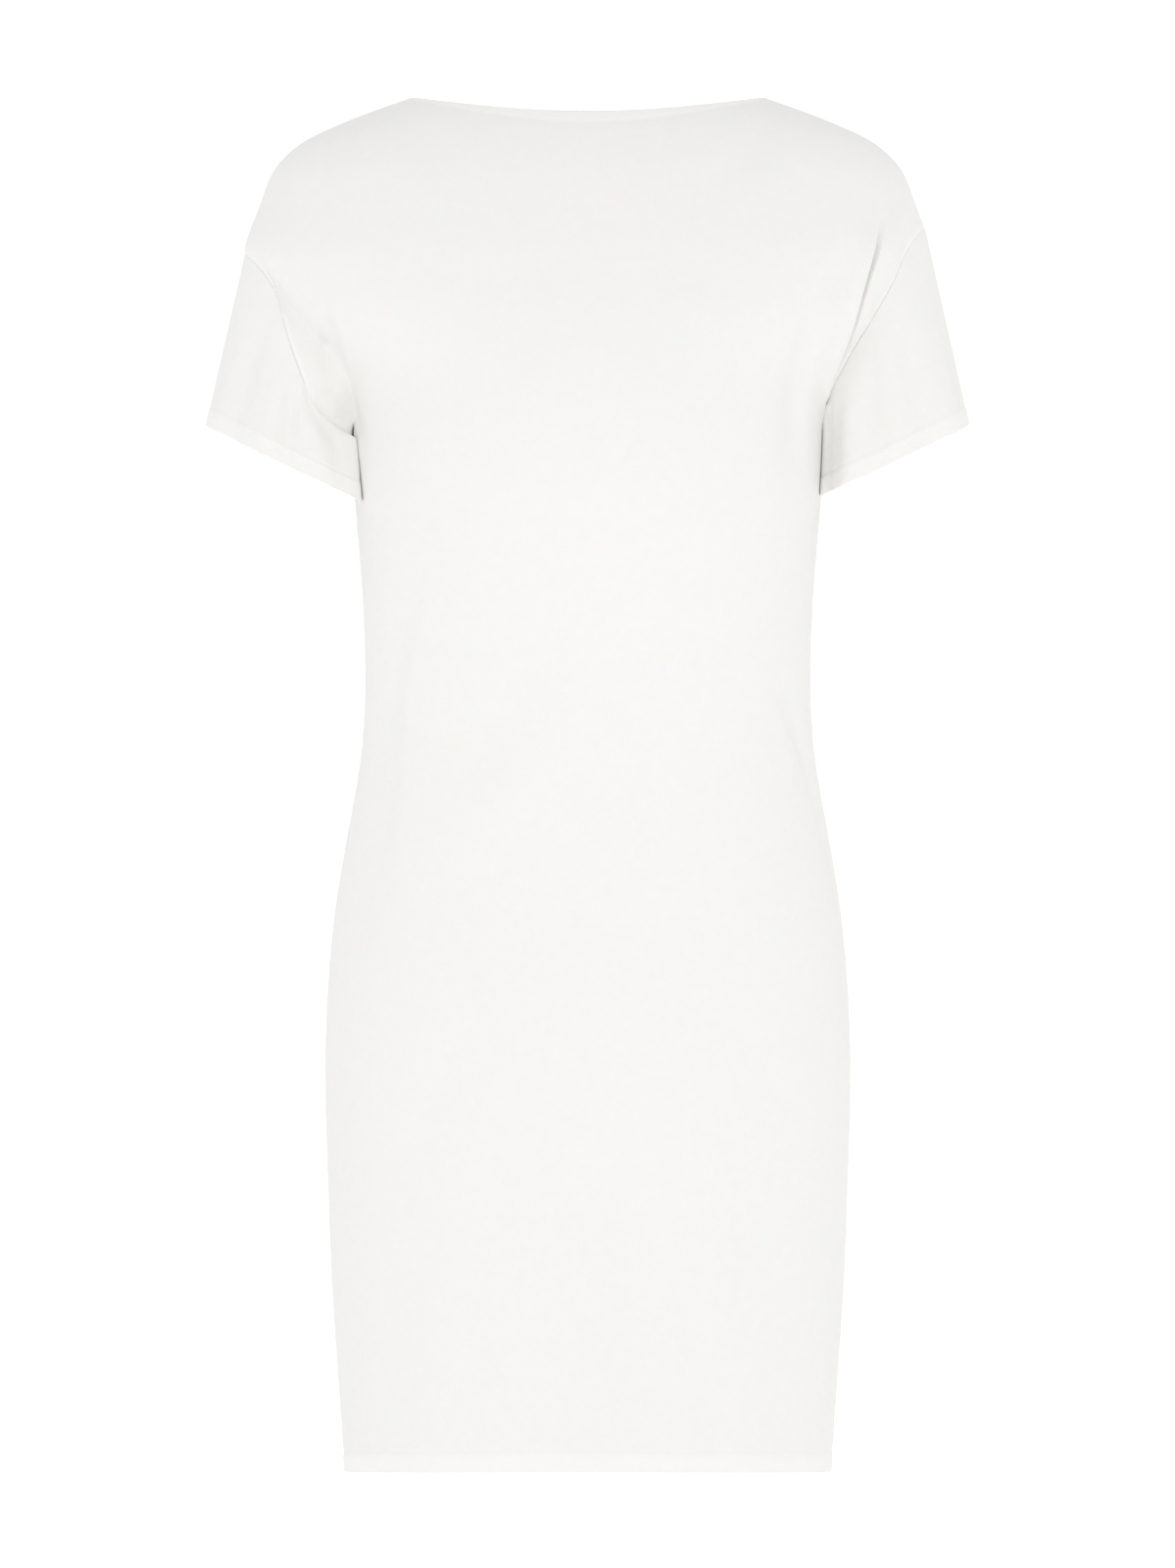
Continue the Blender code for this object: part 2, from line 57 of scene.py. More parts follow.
# Cloth and its turned edges: the radius of each rounded edge, how far the cloth lies back inside, and how
# wide the doubled cloth shows along a seam
CLOTH = 0.0002
TURN_RADIUS = 0.0010
SEAM_RADIUS = 0.00013
HEM_TURNING = 0.0115
NECK_TURNING = 0.0085
SEAM_TURNING = 0.0080
SEAM_LINE = 0.0035
CUFF_TURNING = 0.0110
TURN_ANGLES = (30.0, 60.0, 90.0, 120.0, 150.0, 180.0)
TURN_STEPS = 4
TURN_ROWS = 24

# Fineness
SKIRT_ROWS = 124
HEM_ROWS = 8
HEM_BAND = 0.016
YOKE_ROWS = 92
YOKE_EASE = 0.75
FINE = 801
END_COLUMNS = {"right": 15, "left": 17}
CREASE_COLUMNS = {"right": 14, "left": 20}
MIDDLE_COLUMNS = 92
CREASE_BAND = 0.007
SLEEVE_ROWS = 60
SLEEVE_TOP = 0.10
SLEEVE_TOP_ROWS = 10
FOLD_STEPS = 24
SEAM_STEPS = 12
SHARP_ANGLE = 60.0

# Outline of the body at each drop: half the width, and how far the front and the back stand off the
# plane of the side seams. A power of 2 is an ellipse and a larger one is squarer.
Ring = namedtuple("Ring", "drop half_width front_depth back_depth front_power back_power")
RINGS = (
    Ring(0.0000, 0.1105, 0.0410, 0.0430, 2.20, 2.20),
    Ring(0.0060, 0.1275, 0.0478, 0.0500, 2.20, 2.20),
    Ring(0.0120, 0.1436, 0.0535, 0.0560, 2.20, 2.20),
    Ring(0.0180, 0.1580, 0.0585, 0.0615, 2.20, 2.20),
    Ring(0.0243, 0.1714, 0.0630, 0.0670, 2.20, 2.20),
    Ring(0.0334, 0.1845, 0.0688, 0.0735, 2.20, 2.20),
    Ring(0.0425, 0.1929, 0.0740, 0.0790, 2.20, 2.20),
    Ring(0.0607, 0.2012, 0.0825, 0.0880, 2.20, 2.20),
    Ring(0.0813, 0.2090, 0.0905, 0.0950, 2.20, 2.20),
    Ring(0.0970, 0.2124, 0.0960, 0.0990, 2.22, 2.20),
    Ring(0.1135, 0.2050, 0.1010, 0.1020, 2.25, 2.20),
    Ring(0.1300, 0.1945, 0.1065, 0.1045, 2.28, 2.22),
    Ring(0.1480, 0.1770, 0.1115, 0.1062, 2.30, 2.25),
    Ring(0.1660, 0.1590, 0.1160, 0.1070, 2.32, 2.28),
    Ring(0.1830, 0.1505, 0.1192, 0.1068, 2.35, 2.30),
    Ring(0.2120, 0.1465, 0.1220, 0.1050, 2.38, 2.30),
    Ring(0.2500, 0.1440, 0.1205, 0.1010, 2.40, 2.30),
    Ring(0.3000, 0.1400, 0.1135, 0.0940, 2.38, 2.28),
    Ring(0.3500, 0.1378, 0.1065, 0.0885, 2.35, 2.25),
    Ring(0.4000, 0.1396, 0.1025, 0.0895, 2.32, 2.25),
    Ring(0.4500, 0.1476, 0.1025, 0.0965, 2.30, 2.28),
    Ring(0.5000, 0.1560, 0.1045, 0.1075, 2.30, 2.30),
    Ring(0.5500, 0.1608, 0.1068, 0.1170, 2.32, 2.30),
    Ring(0.6000, 0.1625, 0.1075, 0.1215, 2.34, 2.30),
    Ring(0.6600, 0.1611, 0.1060, 0.1205, 2.36, 2.30),
    Ring(0.7300, 0.1585, 0.1035, 0.1150, 2.38, 2.30),
    Ring(0.7900, 0.1546, 0.1015, 0.1105, 2.38, 2.30),
    Ring(0.8500, 0.1504, 0.0995, 0.1075, 2.38, 2.30),
)

# Armhole seam of each sleeve, from the shoulder down the front to the underarm and up the back. out
# is measured from the middle of the dress, whichever side the sleeve is on.
Seam = namedtuple("Seam", "out y drop")
ARMHOLES = {
    "left": (
        Seam(0.2090, 0.0000, 0.0813),
        Seam(0.2035, -0.0215, 0.0862),
        Seam(0.1955, -0.0345, 0.0985),
        Seam(0.1880, -0.0415, 0.1160),
        Seam(0.1775, -0.0450, 0.1360),
        Seam(0.1660, -0.0430, 0.1560),
        Seam(0.1560, -0.0400, 0.1740),
        Seam(0.1502, -0.0350, 0.1880),
        Seam(0.1475, -0.0220, 0.2015),
        Seam(0.1465, 0.0000, 0.2120),
        Seam(0.1515, 0.0125, 0.2010),
        Seam(0.1590, 0.0265, 0.1830),
        Seam(0.1680, 0.0400, 0.1610),
        Seam(0.1770, 0.0465, 0.1380),
        Seam(0.1865, 0.0450, 0.1160),
        Seam(0.1950, 0.0375, 0.0980),
        Seam(0.2035, 0.0225, 0.0860),
    ),
    "right": (
        Seam(0.2124, 0.0000, 0.0970),
        Seam(0.2085, -0.0190, 0.1000),
        Seam(0.1998, -0.0335, 0.1095),
        Seam(0.1915, -0.0420, 0.1235),
        Seam(0.1868, -0.0470, 0.1420),
        Seam(0.1812, -0.0490, 0.1620),
        Seam(0.1730, -0.0475, 0.1820),
        Seam(0.1620, -0.0452, 0.1980),
        Seam(0.1462, -0.0392, 0.2094),
        Seam(0.1466, -0.0280, 0.2109),
        Seam(0.1468, -0.0130, 0.2118),
        Seam(0.1465, 0.0000, 0.2120),
        Seam(0.1520, 0.0130, 0.2020),
        Seam(0.1600, 0.0275, 0.1850),
        Seam(0.1690, 0.0400, 0.1640),
        Seam(0.1785, 0.0470, 0.1430),
        Seam(0.1880, 0.0455, 0.1235),
        Seam(0.1975, 0.0370, 0.1090),
        Seam(0.2075, 0.0205, 0.1000),
    ),
}

# How far from an armhole the cloth is drawn towards its seam, and how much of the way to the seam's
# depth the form of the body keeps on rounding under it.
SEAM_PULLS = {("front", "left"): 0.028, ("front", "right"): 0.022, ("back", "left"): 0.028,
              ("back", "right"): 0.028}
SEAM_ROUNDS = {("front", "left"): 1.0, ("front", "right"): 0.60, ("back", "left"): 1.0,
               ("back", "right"): 1.0}

# Edge of each sleeve, from its outer tip over the front to its inner tip and back, and the line that its
# points lie on, seen from the front, where the front hangs a little lower.
CUFF_FRONTS = {
    "left": ((0.2362, 0.0000), (0.2310, -0.0260), (0.2150, -0.0440), (0.1900, -0.0510), (0.1690, -0.0490),
             (0.1558, -0.0420), (0.1444, -0.0200), (0.1448, -0.0110), (0.1451, -0.0020), (0.1452, 0.0100)),
    "right": ((0.2366, 0.0000), (0.2310, -0.0260), (0.2150, -0.0430), (0.1900, -0.0500), (0.1680, -0.0505),
              (0.1505, -0.0480), (0.1444, -0.0345), (0.1454, -0.0200), (0.1457, -0.0100)),
}
CUFF_BACKS = {
    "left": ((0.1455, 0.0210), (0.1545, 0.0380), (0.1750, 0.0480), (0.1990, 0.0490), (0.2220, 0.0370),
             (0.2330, 0.0190)),
    "right": ((0.1457, 0.0130), (0.1535, 0.0370), (0.1750, 0.0490), (0.1990, 0.0495), (0.2220, 0.0375),
              (0.2335, 0.0190)),
}
CuffLine = namedtuple("CuffLine", "inner_out inner_drop outer_out outer_drop")
CUFF_LINES = {
    "left": CuffLine(0.1445, 0.2452, 0.2362, 0.2022),
    "right": CuffLine(0.1442, 0.2465, 0.2366, 0.2028),
}
CUFF_TILT = 0.03

# From REST_DROPS down, cloth of a sleeve that is nearer to the body's form than REST_REACH lies against it,
# REST_GAP off at the closest. REST_POWER is how sharply it turns away from the body, and REST_FROM_SEAM is
# how far below the armhole seam it starts.
REST_REACH = {"left": 0.006, "right": 0.015}
REST_GAP = 0.00015
REST_POWER = 8.0
REST_DROPS = (0.165, 0.195)
REST_FROM_SEAM = 0.006

# Fold at each armhole, where the cloth of the body rolls over the cloth beside the sleeve. Along its
# edge, from the shoulder down: how deep the slot under it is, how far the slot tucks back under the
# edge, how wide it opens, and how much of its depth stays as far as the seam. The shares below them are
# of that opening: where the slot starts before the edge, where its floor ends and how long it rises, and
# where its tuck lies and how wide it is. The lip is the fold's own slight bulge before its edge.
Roll = namedtuple("Roll", "drop out depth tuck opening kept")
ROLLS = {
    ("front", "left"): (
        Roll(0.0334, 0.1835, 0.0000, 0.0000, 0.0026, 0.10),
        Roll(0.0700, 0.1805, 0.0000, 0.0000, 0.0026, 0.10),
        Roll(0.0830, 0.1792, 0.0018, 0.0006, 0.0026, 0.10),
        Roll(0.0954, 0.1772, 0.0056, 0.0022, 0.0026, 0.10),
        Roll(0.1077, 0.1739, 0.0072, 0.0032, 0.0026, 0.12),
        Roll(0.1232, 0.1694, 0.0078, 0.0034, 0.0030, 0.14),
        Roll(0.1523, 0.1609, 0.0070, 0.0030, 0.0036, 0.25),
        Roll(0.1784, 0.1509, 0.0032, 0.0012, 0.0045, 0.40),
        Roll(0.1940, 0.1463, 0.0012, 0.0004, 0.0050, 0.50),
        Roll(0.2140, 0.1440, 0.0000, 0.0000, 0.0050, 0.50),
    ),
    ("front", "right"): (
        Roll(0.0420, 0.1870, 0.0000, 0.0000, 0.0120, 0.40),
        Roll(0.1000, 0.1780, 0.0000, 0.0000, 0.0120, 0.40),
        Roll(0.1300, 0.1700, 0.0006, 0.0000, 0.0120, 0.50),
        Roll(0.1570, 0.1585, 0.0014, 0.0000, 0.0100, 0.70),
        Roll(0.1840, 0.1500, 0.0014, 0.0000, 0.0080, 0.90),
        Roll(0.2140, 0.1395, 0.0000, 0.0000, 0.0080, 1.00),
    ),
    ("back", "left"): (
        Roll(0.0360, 0.1850, 0.0000, 0.0000, 0.0090, 0.30),
        Roll(0.1000, 0.1740, 0.0018, 0.0000, 0.0090, 0.30),
        Roll(0.1300, 0.1670, 0.0050, 0.0008, 0.0070, 0.40),
        Roll(0.1600, 0.1575, 0.0058, 0.0012, 0.0070, 0.60),
        Roll(0.1900, 0.1490, 0.0040, 0.0006, 0.0070, 0.90),
        Roll(0.2140, 0.1440, 0.0000, 0.0000, 0.0070, 1.00),
    ),
    ("back", "right"): (
        Roll(0.0400, 0.1860, 0.0000, 0.0000, 0.0100, 0.30),
        Roll(0.0950, 0.1790, 0.0010, 0.0000, 0.0100, 0.30),
        Roll(0.1250, 0.1715, 0.0042, 0.0006, 0.0080, 0.40),
        Roll(0.1560, 0.1600, 0.0055, 0.0010, 0.0070, 0.60),
        Roll(0.1880, 0.1500, 0.0042, 0.0006, 0.0070, 0.90),
        Roll(0.2140, 0.1440, 0.0000, 0.0000, 0.0070, 1.00),
    ),
}
ROLL_FOOT_DROP = 0.245
ROLL_EDGE = 0.983
ROLL_LEAD = 0.3
ROLL_FLOOR = 0.7
ROLL_RISE = 1.3
TUCK_PLACE = 0.45
TUCK_WIDTH = 1.1
LIP_BACK = 0.0045
LIP_WIDTH = 0.010
LIP_HEIGHT = 0.16

# Folds of the front and back, each along a short path of (x, drop) places. They bulge out where height
# is positive and in where it is negative. lean moves a fold's steeper side towards its right.
Fold = namedtuple("Fold", "path start_width end_width height fade lean")
FOLDS = {
    "front": (
        Fold(((0.163, 0.088), (0.152, 0.120), (0.138, 0.150), (0.128, 0.190), (0.126, 0.240)),
             0.010, 0.024, -0.0050, 0.30, 0.2),
        Fold(((-0.166, 0.128), (-0.154, 0.165), (-0.135, 0.220)), 0.012, 0.015, -0.0030, 0.40, 0.0),
        Fold(((-0.1450, 0.196), (-0.1425, 0.220), (-0.1430, 0.262)), 0.009, 0.009, 0.0013, 0.30, 0.0),
        Fold(((-0.002, 0.330), (-0.024, 0.400), (-0.060, 0.443), (-0.085, 0.480)),
             0.026, 0.034, 0.0034, 0.50, 0.2),
        Fold(((0.026, 0.410), (0.000, 0.470), (-0.040, 0.560)), 0.035, 0.050, -0.0024, 0.50, 0.0),
        Fold(((0.112, 0.350), (0.131, 0.400), (0.143, 0.443), (0.152, 0.485), (0.157, 0.530)),
             0.013, 0.020, -0.0036, 0.45, -0.3),
        Fold(((-0.098, 0.250), (-0.119, 0.364), (-0.125, 0.443), (-0.140, 0.540)),
             0.020, 0.024, -0.0026, 0.45, 0.3),
        Fold(((0.004, 0.650), (0.000, 0.740), (-0.003, 0.880)), 0.018, 0.070, -0.0066, 0.30, 0.0),
        Fold(((-0.088, 0.700), (-0.095, 0.780), (-0.094, 0.880)), 0.022, 0.034, 0.0022, 0.45, 0.0),
        Fold(((0.082, 0.690), (0.093, 0.770), (0.096, 0.880)), 0.024, 0.036, 0.0024, 0.45, 0.0),
        Fold(((0.118, 0.262), (0.084, 0.292), (0.040, 0.306)), 0.016, 0.022, -0.0012, 0.50, 0.3),
        Fold(((0.130, 0.300), (0.098, 0.336), (0.050, 0.352)), 0.012, 0.018, -0.0013, 0.50, 0.3),
        Fold(((-0.130, 0.318), (-0.090, 0.338), (-0.045, 0.340)), 0.012, 0.018, -0.0012, 0.50, -0.3),
        Fold(((-0.134, 0.372), (-0.100, 0.396), (-0.070, 0.402)), 0.012, 0.016, -0.0012, 0.50, -0.3),
        Fold(((-0.112, 0.012), (-0.092, 0.040), (-0.060, 0.075)), 0.014, 0.026, -0.0010, 0.50, 0.0),
        Fold(((0.112, 0.010), (0.098, 0.038), (0.066, 0.068)), 0.012, 0.022, -0.0014, 0.50, 0.0),
        Fold(((0.080, 0.560), (0.110, 0.610), (0.128, 0.690)), 0.022, 0.030, -0.0014, 0.50, 0.0),
        Fold(((-0.060, 0.570), (-0.095, 0.620), (-0.118, 0.700)), 0.020, 0.030, -0.0014, 0.50, 0.0),
    ),
    "back": (
        Fold(((0.156, 0.105), (0.140, 0.165), (0.122, 0.235)), 0.016, 0.026, -0.0048, 0.40, -0.2),
        Fold(((-0.160, 0.110), (-0.142, 0.170), (-0.126, 0.240)), 0.016, 0.026, -0.0045, 0.40, 0.2),
        Fold(((-0.100, 0.362), (-0.040, 0.384), (0.030, 0.398)), 0.014, 0.022, -0.0038, 0.50, 0.3),
        Fold(((0.108, 0.342), (0.055, 0.360), (0.000, 0.366)), 0.012, 0.018, -0.0032, 0.50, -0.2),
        Fold(((-0.085, 0.328), (-0.030, 0.338), (0.022, 0.334)), 0.012, 0.016, -0.0022, 0.50, 0.3),
        Fold(((0.100, 0.404), (0.058, 0.424), (0.012, 0.430)), 0.014, 0.020, -0.0024, 0.50, 0.0),
        Fold(((0.018, 0.650), (0.032, 0.760), (0.040, 0.880)), 0.024, 0.055, -0.0052, 0.40, 0.0),
        Fold(((-0.062, 0.660), (-0.078, 0.760), (-0.084, 0.880)), 0.022, 0.038, 0.0036, 0.40, 0.0),
        Fold(((0.100, 0.680), (0.106, 0.780), (0.108, 0.880)), 0.020, 0.030, 0.0026, 0.45, 0.0),
        Fold(((0.000, 0.060), (0.004, 0.160), (-0.004, 0.290)), 0.030, 0.036, -0.0022, 0.50, 0.0),
        Fold(((0.118, 0.300), (0.130, 0.380), (0.146, 0.470)), 0.014, 0.020, -0.0026, 0.50, 0.0),
        Fold(((-0.120, 0.290), (-0.130, 0.370), (-0.143, 0.450)), 0.014, 0.018, -0.0022, 0.50, 0.0),
    ),
}
FOLD_SIDE_FADE = 0.004
FOLD_TOP_FADE = 0.010

# Folds down each sleeve, by their place round it from the shoulder (0) over the front (0.25) to the
# underarm (0.5), near the armhole and at the cuff. Each begins at start of the way down.
SleeveFold = namedtuple("SleeveFold", "around_top around_cuff start top_width cuff_width height")
SLEEVE_FOLDS = {
    "left": (
        SleeveFold(0.322, 0.322, 0.10, 0.010, 0.012, 0.0020),
        SleeveFold(0.262, 0.262, 0.10, 0.010, 0.014, -0.0022),
        SleeveFold(0.170, 0.165, 0.10, 0.014, 0.020, -0.0036),
        SleeveFold(0.080, 0.090, 0.20, 0.010, 0.014, 0.0016),
        SleeveFold(0.800, 0.800, 0.10, 0.014, 0.020, -0.0038),
        SleeveFold(0.700, 0.690, 0.15, 0.010, 0.014, 0.0022),
        SleeveFold(0.620, 0.630, 0.10, 0.012, 0.014, 0.0036),
        SleeveFold(0.900, 0.905, 0.25, 0.012, 0.014, -0.0014),
    ),
    "right": (
        SleeveFold(0.330, 0.330, 0.08, 0.016, 0.022, 0.0026),
        SleeveFold(0.262, 0.258, 0.10, 0.009, 0.013, -0.0036),
        SleeveFold(0.215, 0.212, 0.12, 0.010, 0.014, 0.0024),
        SleeveFold(0.130, 0.130, 0.10, 0.014, 0.020, -0.0038),
        SleeveFold(0.780, 0.780, 0.10, 0.016, 0.020, -0.0038),
        SleeveFold(0.700, 0.710, 0.15, 0.010, 0.014, 0.0020),
        SleeveFold(0.650, 0.650, 0.10, 0.012, 0.014, 0.0032),
        SleeveFold(0.890, 0.880, 0.25, 0.010, 0.014, -0.0012),
    ),
}
SLEEVE_FOLD_GROWTH = 0.40
SEAM_DIP_REACH = 0.022

# Low relief of the sewing
BAND_PROUD = 0.00035
BAND_EDGE = 0.0014
BAND_GROOVE = 0.00025
PUCKER = 0.00030
PUCKER_REACH = 0.014
PUCKER_START = 0.002
PUCKER_PITCHES = (0.009, 0.013, 0.021, 0.034)
PUCKER_SEEDS = {"front": 11, "back": 23}
CORNER_DIMPLE = 0.0016
CORNER_REACH = 0.012

SIDES = {"right": -1.0, "left": 1.0}
FACINGS = {"front": -1.0, "back": 1.0}


def curve_through(knots, values, at):
    """The natural cubic curve through a table's rows, read at the wanted places."""
    knots = np.asarray(knots, float)
    values = np.asarray(values, float)
    step = np.diff(knots)
    slope = np.diff(values) / step
    count = len(knots)
    system = np.eye(count)
    right = np.zeros(count)
    for i in range(1, count - 1):
        system[i, i - 1:i + 2] = step[i - 1], 2.0 * (step[i - 1] + step[i]), step[i]
        right[i] = 6.0 * (slope[i] - slope[i - 1])
    bend = np.linalg.solve(system, right)
    at = np.asarray(at, float)
    i = np.clip(np.searchsorted(knots, at, side="right") - 1, 0, count - 2)
    t = at - knots[i]
    first = slope[i] - step[i] * (2.0 * bend[i] + bend[i + 1]) / 6.0
    return values[i] + t * (first + t * (bend[i] / 2.0 + t * (bend[i + 1] - bend[i]) / (6.0 * step[i])))


def ring(column, drop):
    """One column of the ring table at any drop."""
    return curve_through([row.drop for row in RINGS], [getattr(row, column) for row in RINGS], drop)


def lengths_along(points):
    """Distance of each point of a polyline from its start."""
    return np.concatenate([[0.0], np.cumsum(np.linalg.norm(np.diff(points, axis=0), axis=1))])


def read_at(points, length, at):
    """Points of a polyline at the given distances from its start."""
    return np.stack([np.interp(at, length, points[:, axis]) for axis in range(points.shape[1])], axis=1)


def resampled(points, fractions):
    """Points at the given fractions of a polyline's length."""
    length = lengths_along(points)
    return read_at(points, length, np.asarray(fractions) * length[-1])


def smooth(t):
    """0 up to t = 0, 1 from t = 1 on, and an even S between."""
    t = np.clip(t, 0.0, 1.0)
    return t * t * (3.0 - 2.0 * t)


def falloff(distance, width):
    """1 on a fold's line, falling smoothly to 0 at its width."""
    return smooth(1.0 - distance / width)


def body_depth(panel, x, drop):
    """How far the panel's form stands off the side-seam plane at this x and drop."""
    power = ring(panel + "_power", drop)
    across = np.clip(np.abs(x) / ring("half_width", drop), 0.0, 1.0)
    return ring(panel + "_depth", drop) * (1.0 - across ** power) ** (1.0 / power)


def body_points(panel, x, drop):
    """Points of the panel's form."""
    return np.stack([x, FACINGS[panel] * body_depth(panel, x, drop), -np.asarray(drop)], axis=-1)


def skirt_row(panel, drop, rise):
    """One level outline of the panel from the right side seam to the left, lifted in the middle."""
    angle = np.linspace(math.pi, 0.0, FINE)
    power = ring(panel + "_power", drop)
    cosine = np.cos(angle)
    sine = np.clip(np.sin(angle), 0.0, 1.0)
    x = ring("half_width", drop) * np.sign(cosine) * np.abs(cosine) ** (2.0 / power)
    y = FACINGS[panel] * ring(panel + "_depth", drop) * sine ** (2.0 / power)
    return np.stack([x, y, rise * sine - drop], axis=-1)


def neck_drop(panel, x):
    """Drop of the neck edge, which dips gently between the neck points."""
    return NECK_DROPS[panel] * (1.0 - np.clip(np.abs(x) / NECK_HALF_WIDTH, 0.0, 1.0) ** NECK_CURVE)


def top_edge(panel):
    """x and drop along the shoulder seam, the neck edge and the other shoulder seam."""
    runs = []
    for side in ("right", "left"):
        drop = np.linspace(ARMHOLES[side][0].drop, 0.0, FINE)
        x = SIDES[side] * ring("half_width", drop)
        runs.append(np.stack([x, drop], axis=1))
    x = np.linspace(-NECK_HALF_WIDTH, NECK_HALF_WIDTH, FINE)[1:-1]
    neck = np.stack([x, neck_drop(panel, x)], axis=1)
    return np.concatenate([runs[0], neck, runs[1][::-1]])


def closed_curve(rows):
    """A smooth closed line through a table's rows, in SEAM_STEPS steps between each two."""
    count = len(rows)
    points = []
    for i in range(count):
        p0, p1, p2, p3 = (rows[(i + k) % count] for k in (-1, 0, 1, 2))
        for t in np.linspace(0.0, 1.0, SEAM_STEPS, endpoint=False):
            bend = 2.0 * p0 - 5.0 * p1 + 4.0 * p2 - p3
            twist = 3.0 * p1 - p0 - 3.0 * p2 + p3
            points.append(p1 + 0.5 * t * ((p2 - p0) + t * (bend + t * twist)))
    return np.array(points)


def armhole_loop(side):
    """The armhole seam as a closed line, and where its underarm point is."""
    loop = closed_curve(np.array([(SIDES[side] * row.out, row.y, -row.drop) for row in ARMHOLES[side]]))
    return loop, int(np.argmin(loop[:, 2]))


def armhole_half(side, panel):
    """The panel's part of the armhole seam, from the underarm up to the shoulder."""
    loop, underarm = armhole_loop(side)
    if panel == "front":
        half = loop[:underarm + 1][::-1]
    else:
        half = np.concatenate([loop[underarm:], loop[:1]])
    return resampled(half, np.linspace(0.0, 1.0, YOKE_ROWS + 1))


def width_at(panel, y, drop):
    """Half the width of the panel's form where it lies y off the side-seam plane."""
    power = ring(panel + "_power", drop)
    off = np.clip(np.abs(y) / ring(panel + "_depth", drop), 0.0, 1.0)
    return ring("half_width", drop) * (1.0 - off ** power) ** (1.0 / power)


def yoke_rows(panel):
    """Rows from the underarm up to the shoulder seams and neck edge, between the two armholes."""
    across = np.linspace(0.0, 1.0, FINE)
    bottom = resampled(skirt_row(panel, UNDERARM_DROP, 0.0), across)[:, [0, 2]] * (1.0, -1.0)
    edge = top_edge(panel)
    top = resampled(edge, across)
    seams = {side: armhole_half(side, panel) for side in SIDES}
    rows = []
    for k in range(1, YOKE_ROWS):
        part = k / YOKE_ROWS
        up = (1.0 - YOKE_EASE) * part + YOKE_EASE * (1.0 - (1.0 - part) ** 2)
        plain = (1.0 - up) * bottom + up * top
        level = plain.copy()
        for side, weight, corner in (("right", 1.0 - across, plain[0]), ("left", across, plain[-1])):
            x, y, z = seams[side][k]
            end = np.array([SIDES[side] * width_at(panel, y * SEAM_ROUNDS[panel, side], -z), -z])
            level += weight[:, None] * (end - corner)
        row = body_points(panel, level[:, 0], level[:, 1])
        rows.append(pulled_to(panel, row, seams["right"][k], seams["left"][k]))
    rows.append(body_points(panel, edge[:, 0], edge[:, 1]))
    return rows


def pulled_to(panel, row, first, last):
    """A row whose two ends are drawn onto the armhole seams, and the cloth near them with it."""
    length = lengths_along(row)
    moved = row.copy()
    for side, end, corner, away in (("right", first, row[0], length),
                                    ("left", last, row[-1], length[-1] - length)):
        moved = moved + falloff(away, SEAM_PULLS[panel, side])[:, None] * (end - corner)
    return moved


def skirt_rows(panel):
    """Rows from the hem up to the underarm, closer together over the turned hem."""
    above = LENGTH - HEM_BAND
    band = list(np.linspace(LENGTH, above, HEM_ROWS, endpoint=False))
    rows = []
    for drop in band + list(np.linspace(above, UNDERARM_DROP, SKIRT_ROWS)):
        near_hem = np.clip(1.0 - (above - drop) / HEM_RISE_REACH, 0.0, 1.0)
        rows.append(skirt_row(panel, drop, HEM_RISES[panel] * near_hem ** 2))
    return rows


def roll_column(panel, side, column, drop):
    """One column of a fold's table at any drop."""
    rows = ROLLS[panel, side]
    drops = [row.drop for row in rows]
    values = [getattr(row, column) for row in rows]
    if column != "out":
        return np.interp(drop, drops, values)
    edge = ring("half_width", drop) * ROLL_EDGE
    inside = np.clip(drop, drops[0], drops[-1])
    low = smooth((drop - drops[-1]) / (ROLL_FOOT_DROP - drops[-1]))
    return (1.0 - low) * curve_through(drops, values, inside) + low * edge


def crossing(panel, side, row, length):
    """How far along a row it meets the edge of the side's fold, and the drop there."""
    beyond = SIDES[side] * row[:, 0] - roll_column(panel, side, "out", -row[:, 2])
    middle = len(row) // 2
    if side == "left":
        i = middle + int(np.argmax(beyond[middle:] > 0.0))
        before = i - 1
    else:
        i = middle - int(np.argmax(beyond[middle::-1] > 0.0))
        before = i + 1
    share = beyond[before] / (beyond[before] - beyond[i])
    drop = -(row[before, 2] + share * (row[i, 2] - row[before, 2]))
    return length[before] + share * (length[i] - length[before]), drop


def panel_form(panel):
    """The panel as a grid of points from the hem up, and for each side each point's distance beyond the
    edge of that side's fold and the drop of the edge on its row."""
    grid = []
    beyond = {side: [] for side in SIDES}
    edge_drops = {side: [] for side in SIDES}
    for row in skirt_rows(panel) + yoke_rows(panel):
        length = lengths_along(row)
        right, right_drop = crossing(panel, "right", row, length)
        left, left_drop = crossing(panel, "left", row, length)
        band_right = min(CREASE_BAND, 0.5 * right)
        band_left = min(CREASE_BAND, 0.5 * (length[-1] - left))
        stops = [0.0, right - band_right, right + band_right,
                 left - band_left, left + band_left, length[-1]]
        counts = [END_COLUMNS["right"], CREASE_COLUMNS["right"], MIDDLE_COLUMNS,
                  CREASE_COLUMNS["left"], END_COLUMNS["left"]]
        at = [np.linspace(stops[i], stops[i + 1], counts[i], endpoint=False) for i in range(len(counts))]
        at = np.concatenate(at + [length[-1:]])
        grid.append(read_at(row, length, at))
        beyond["right"].append(right - at)
        beyond["left"].append(at - left)
        edge_drops["right"].append(right_drop)
        edge_drops["left"].append(left_drop)
    return np.array(grid), {side: np.array(beyond[side]) for side in SIDES}, edge_drops


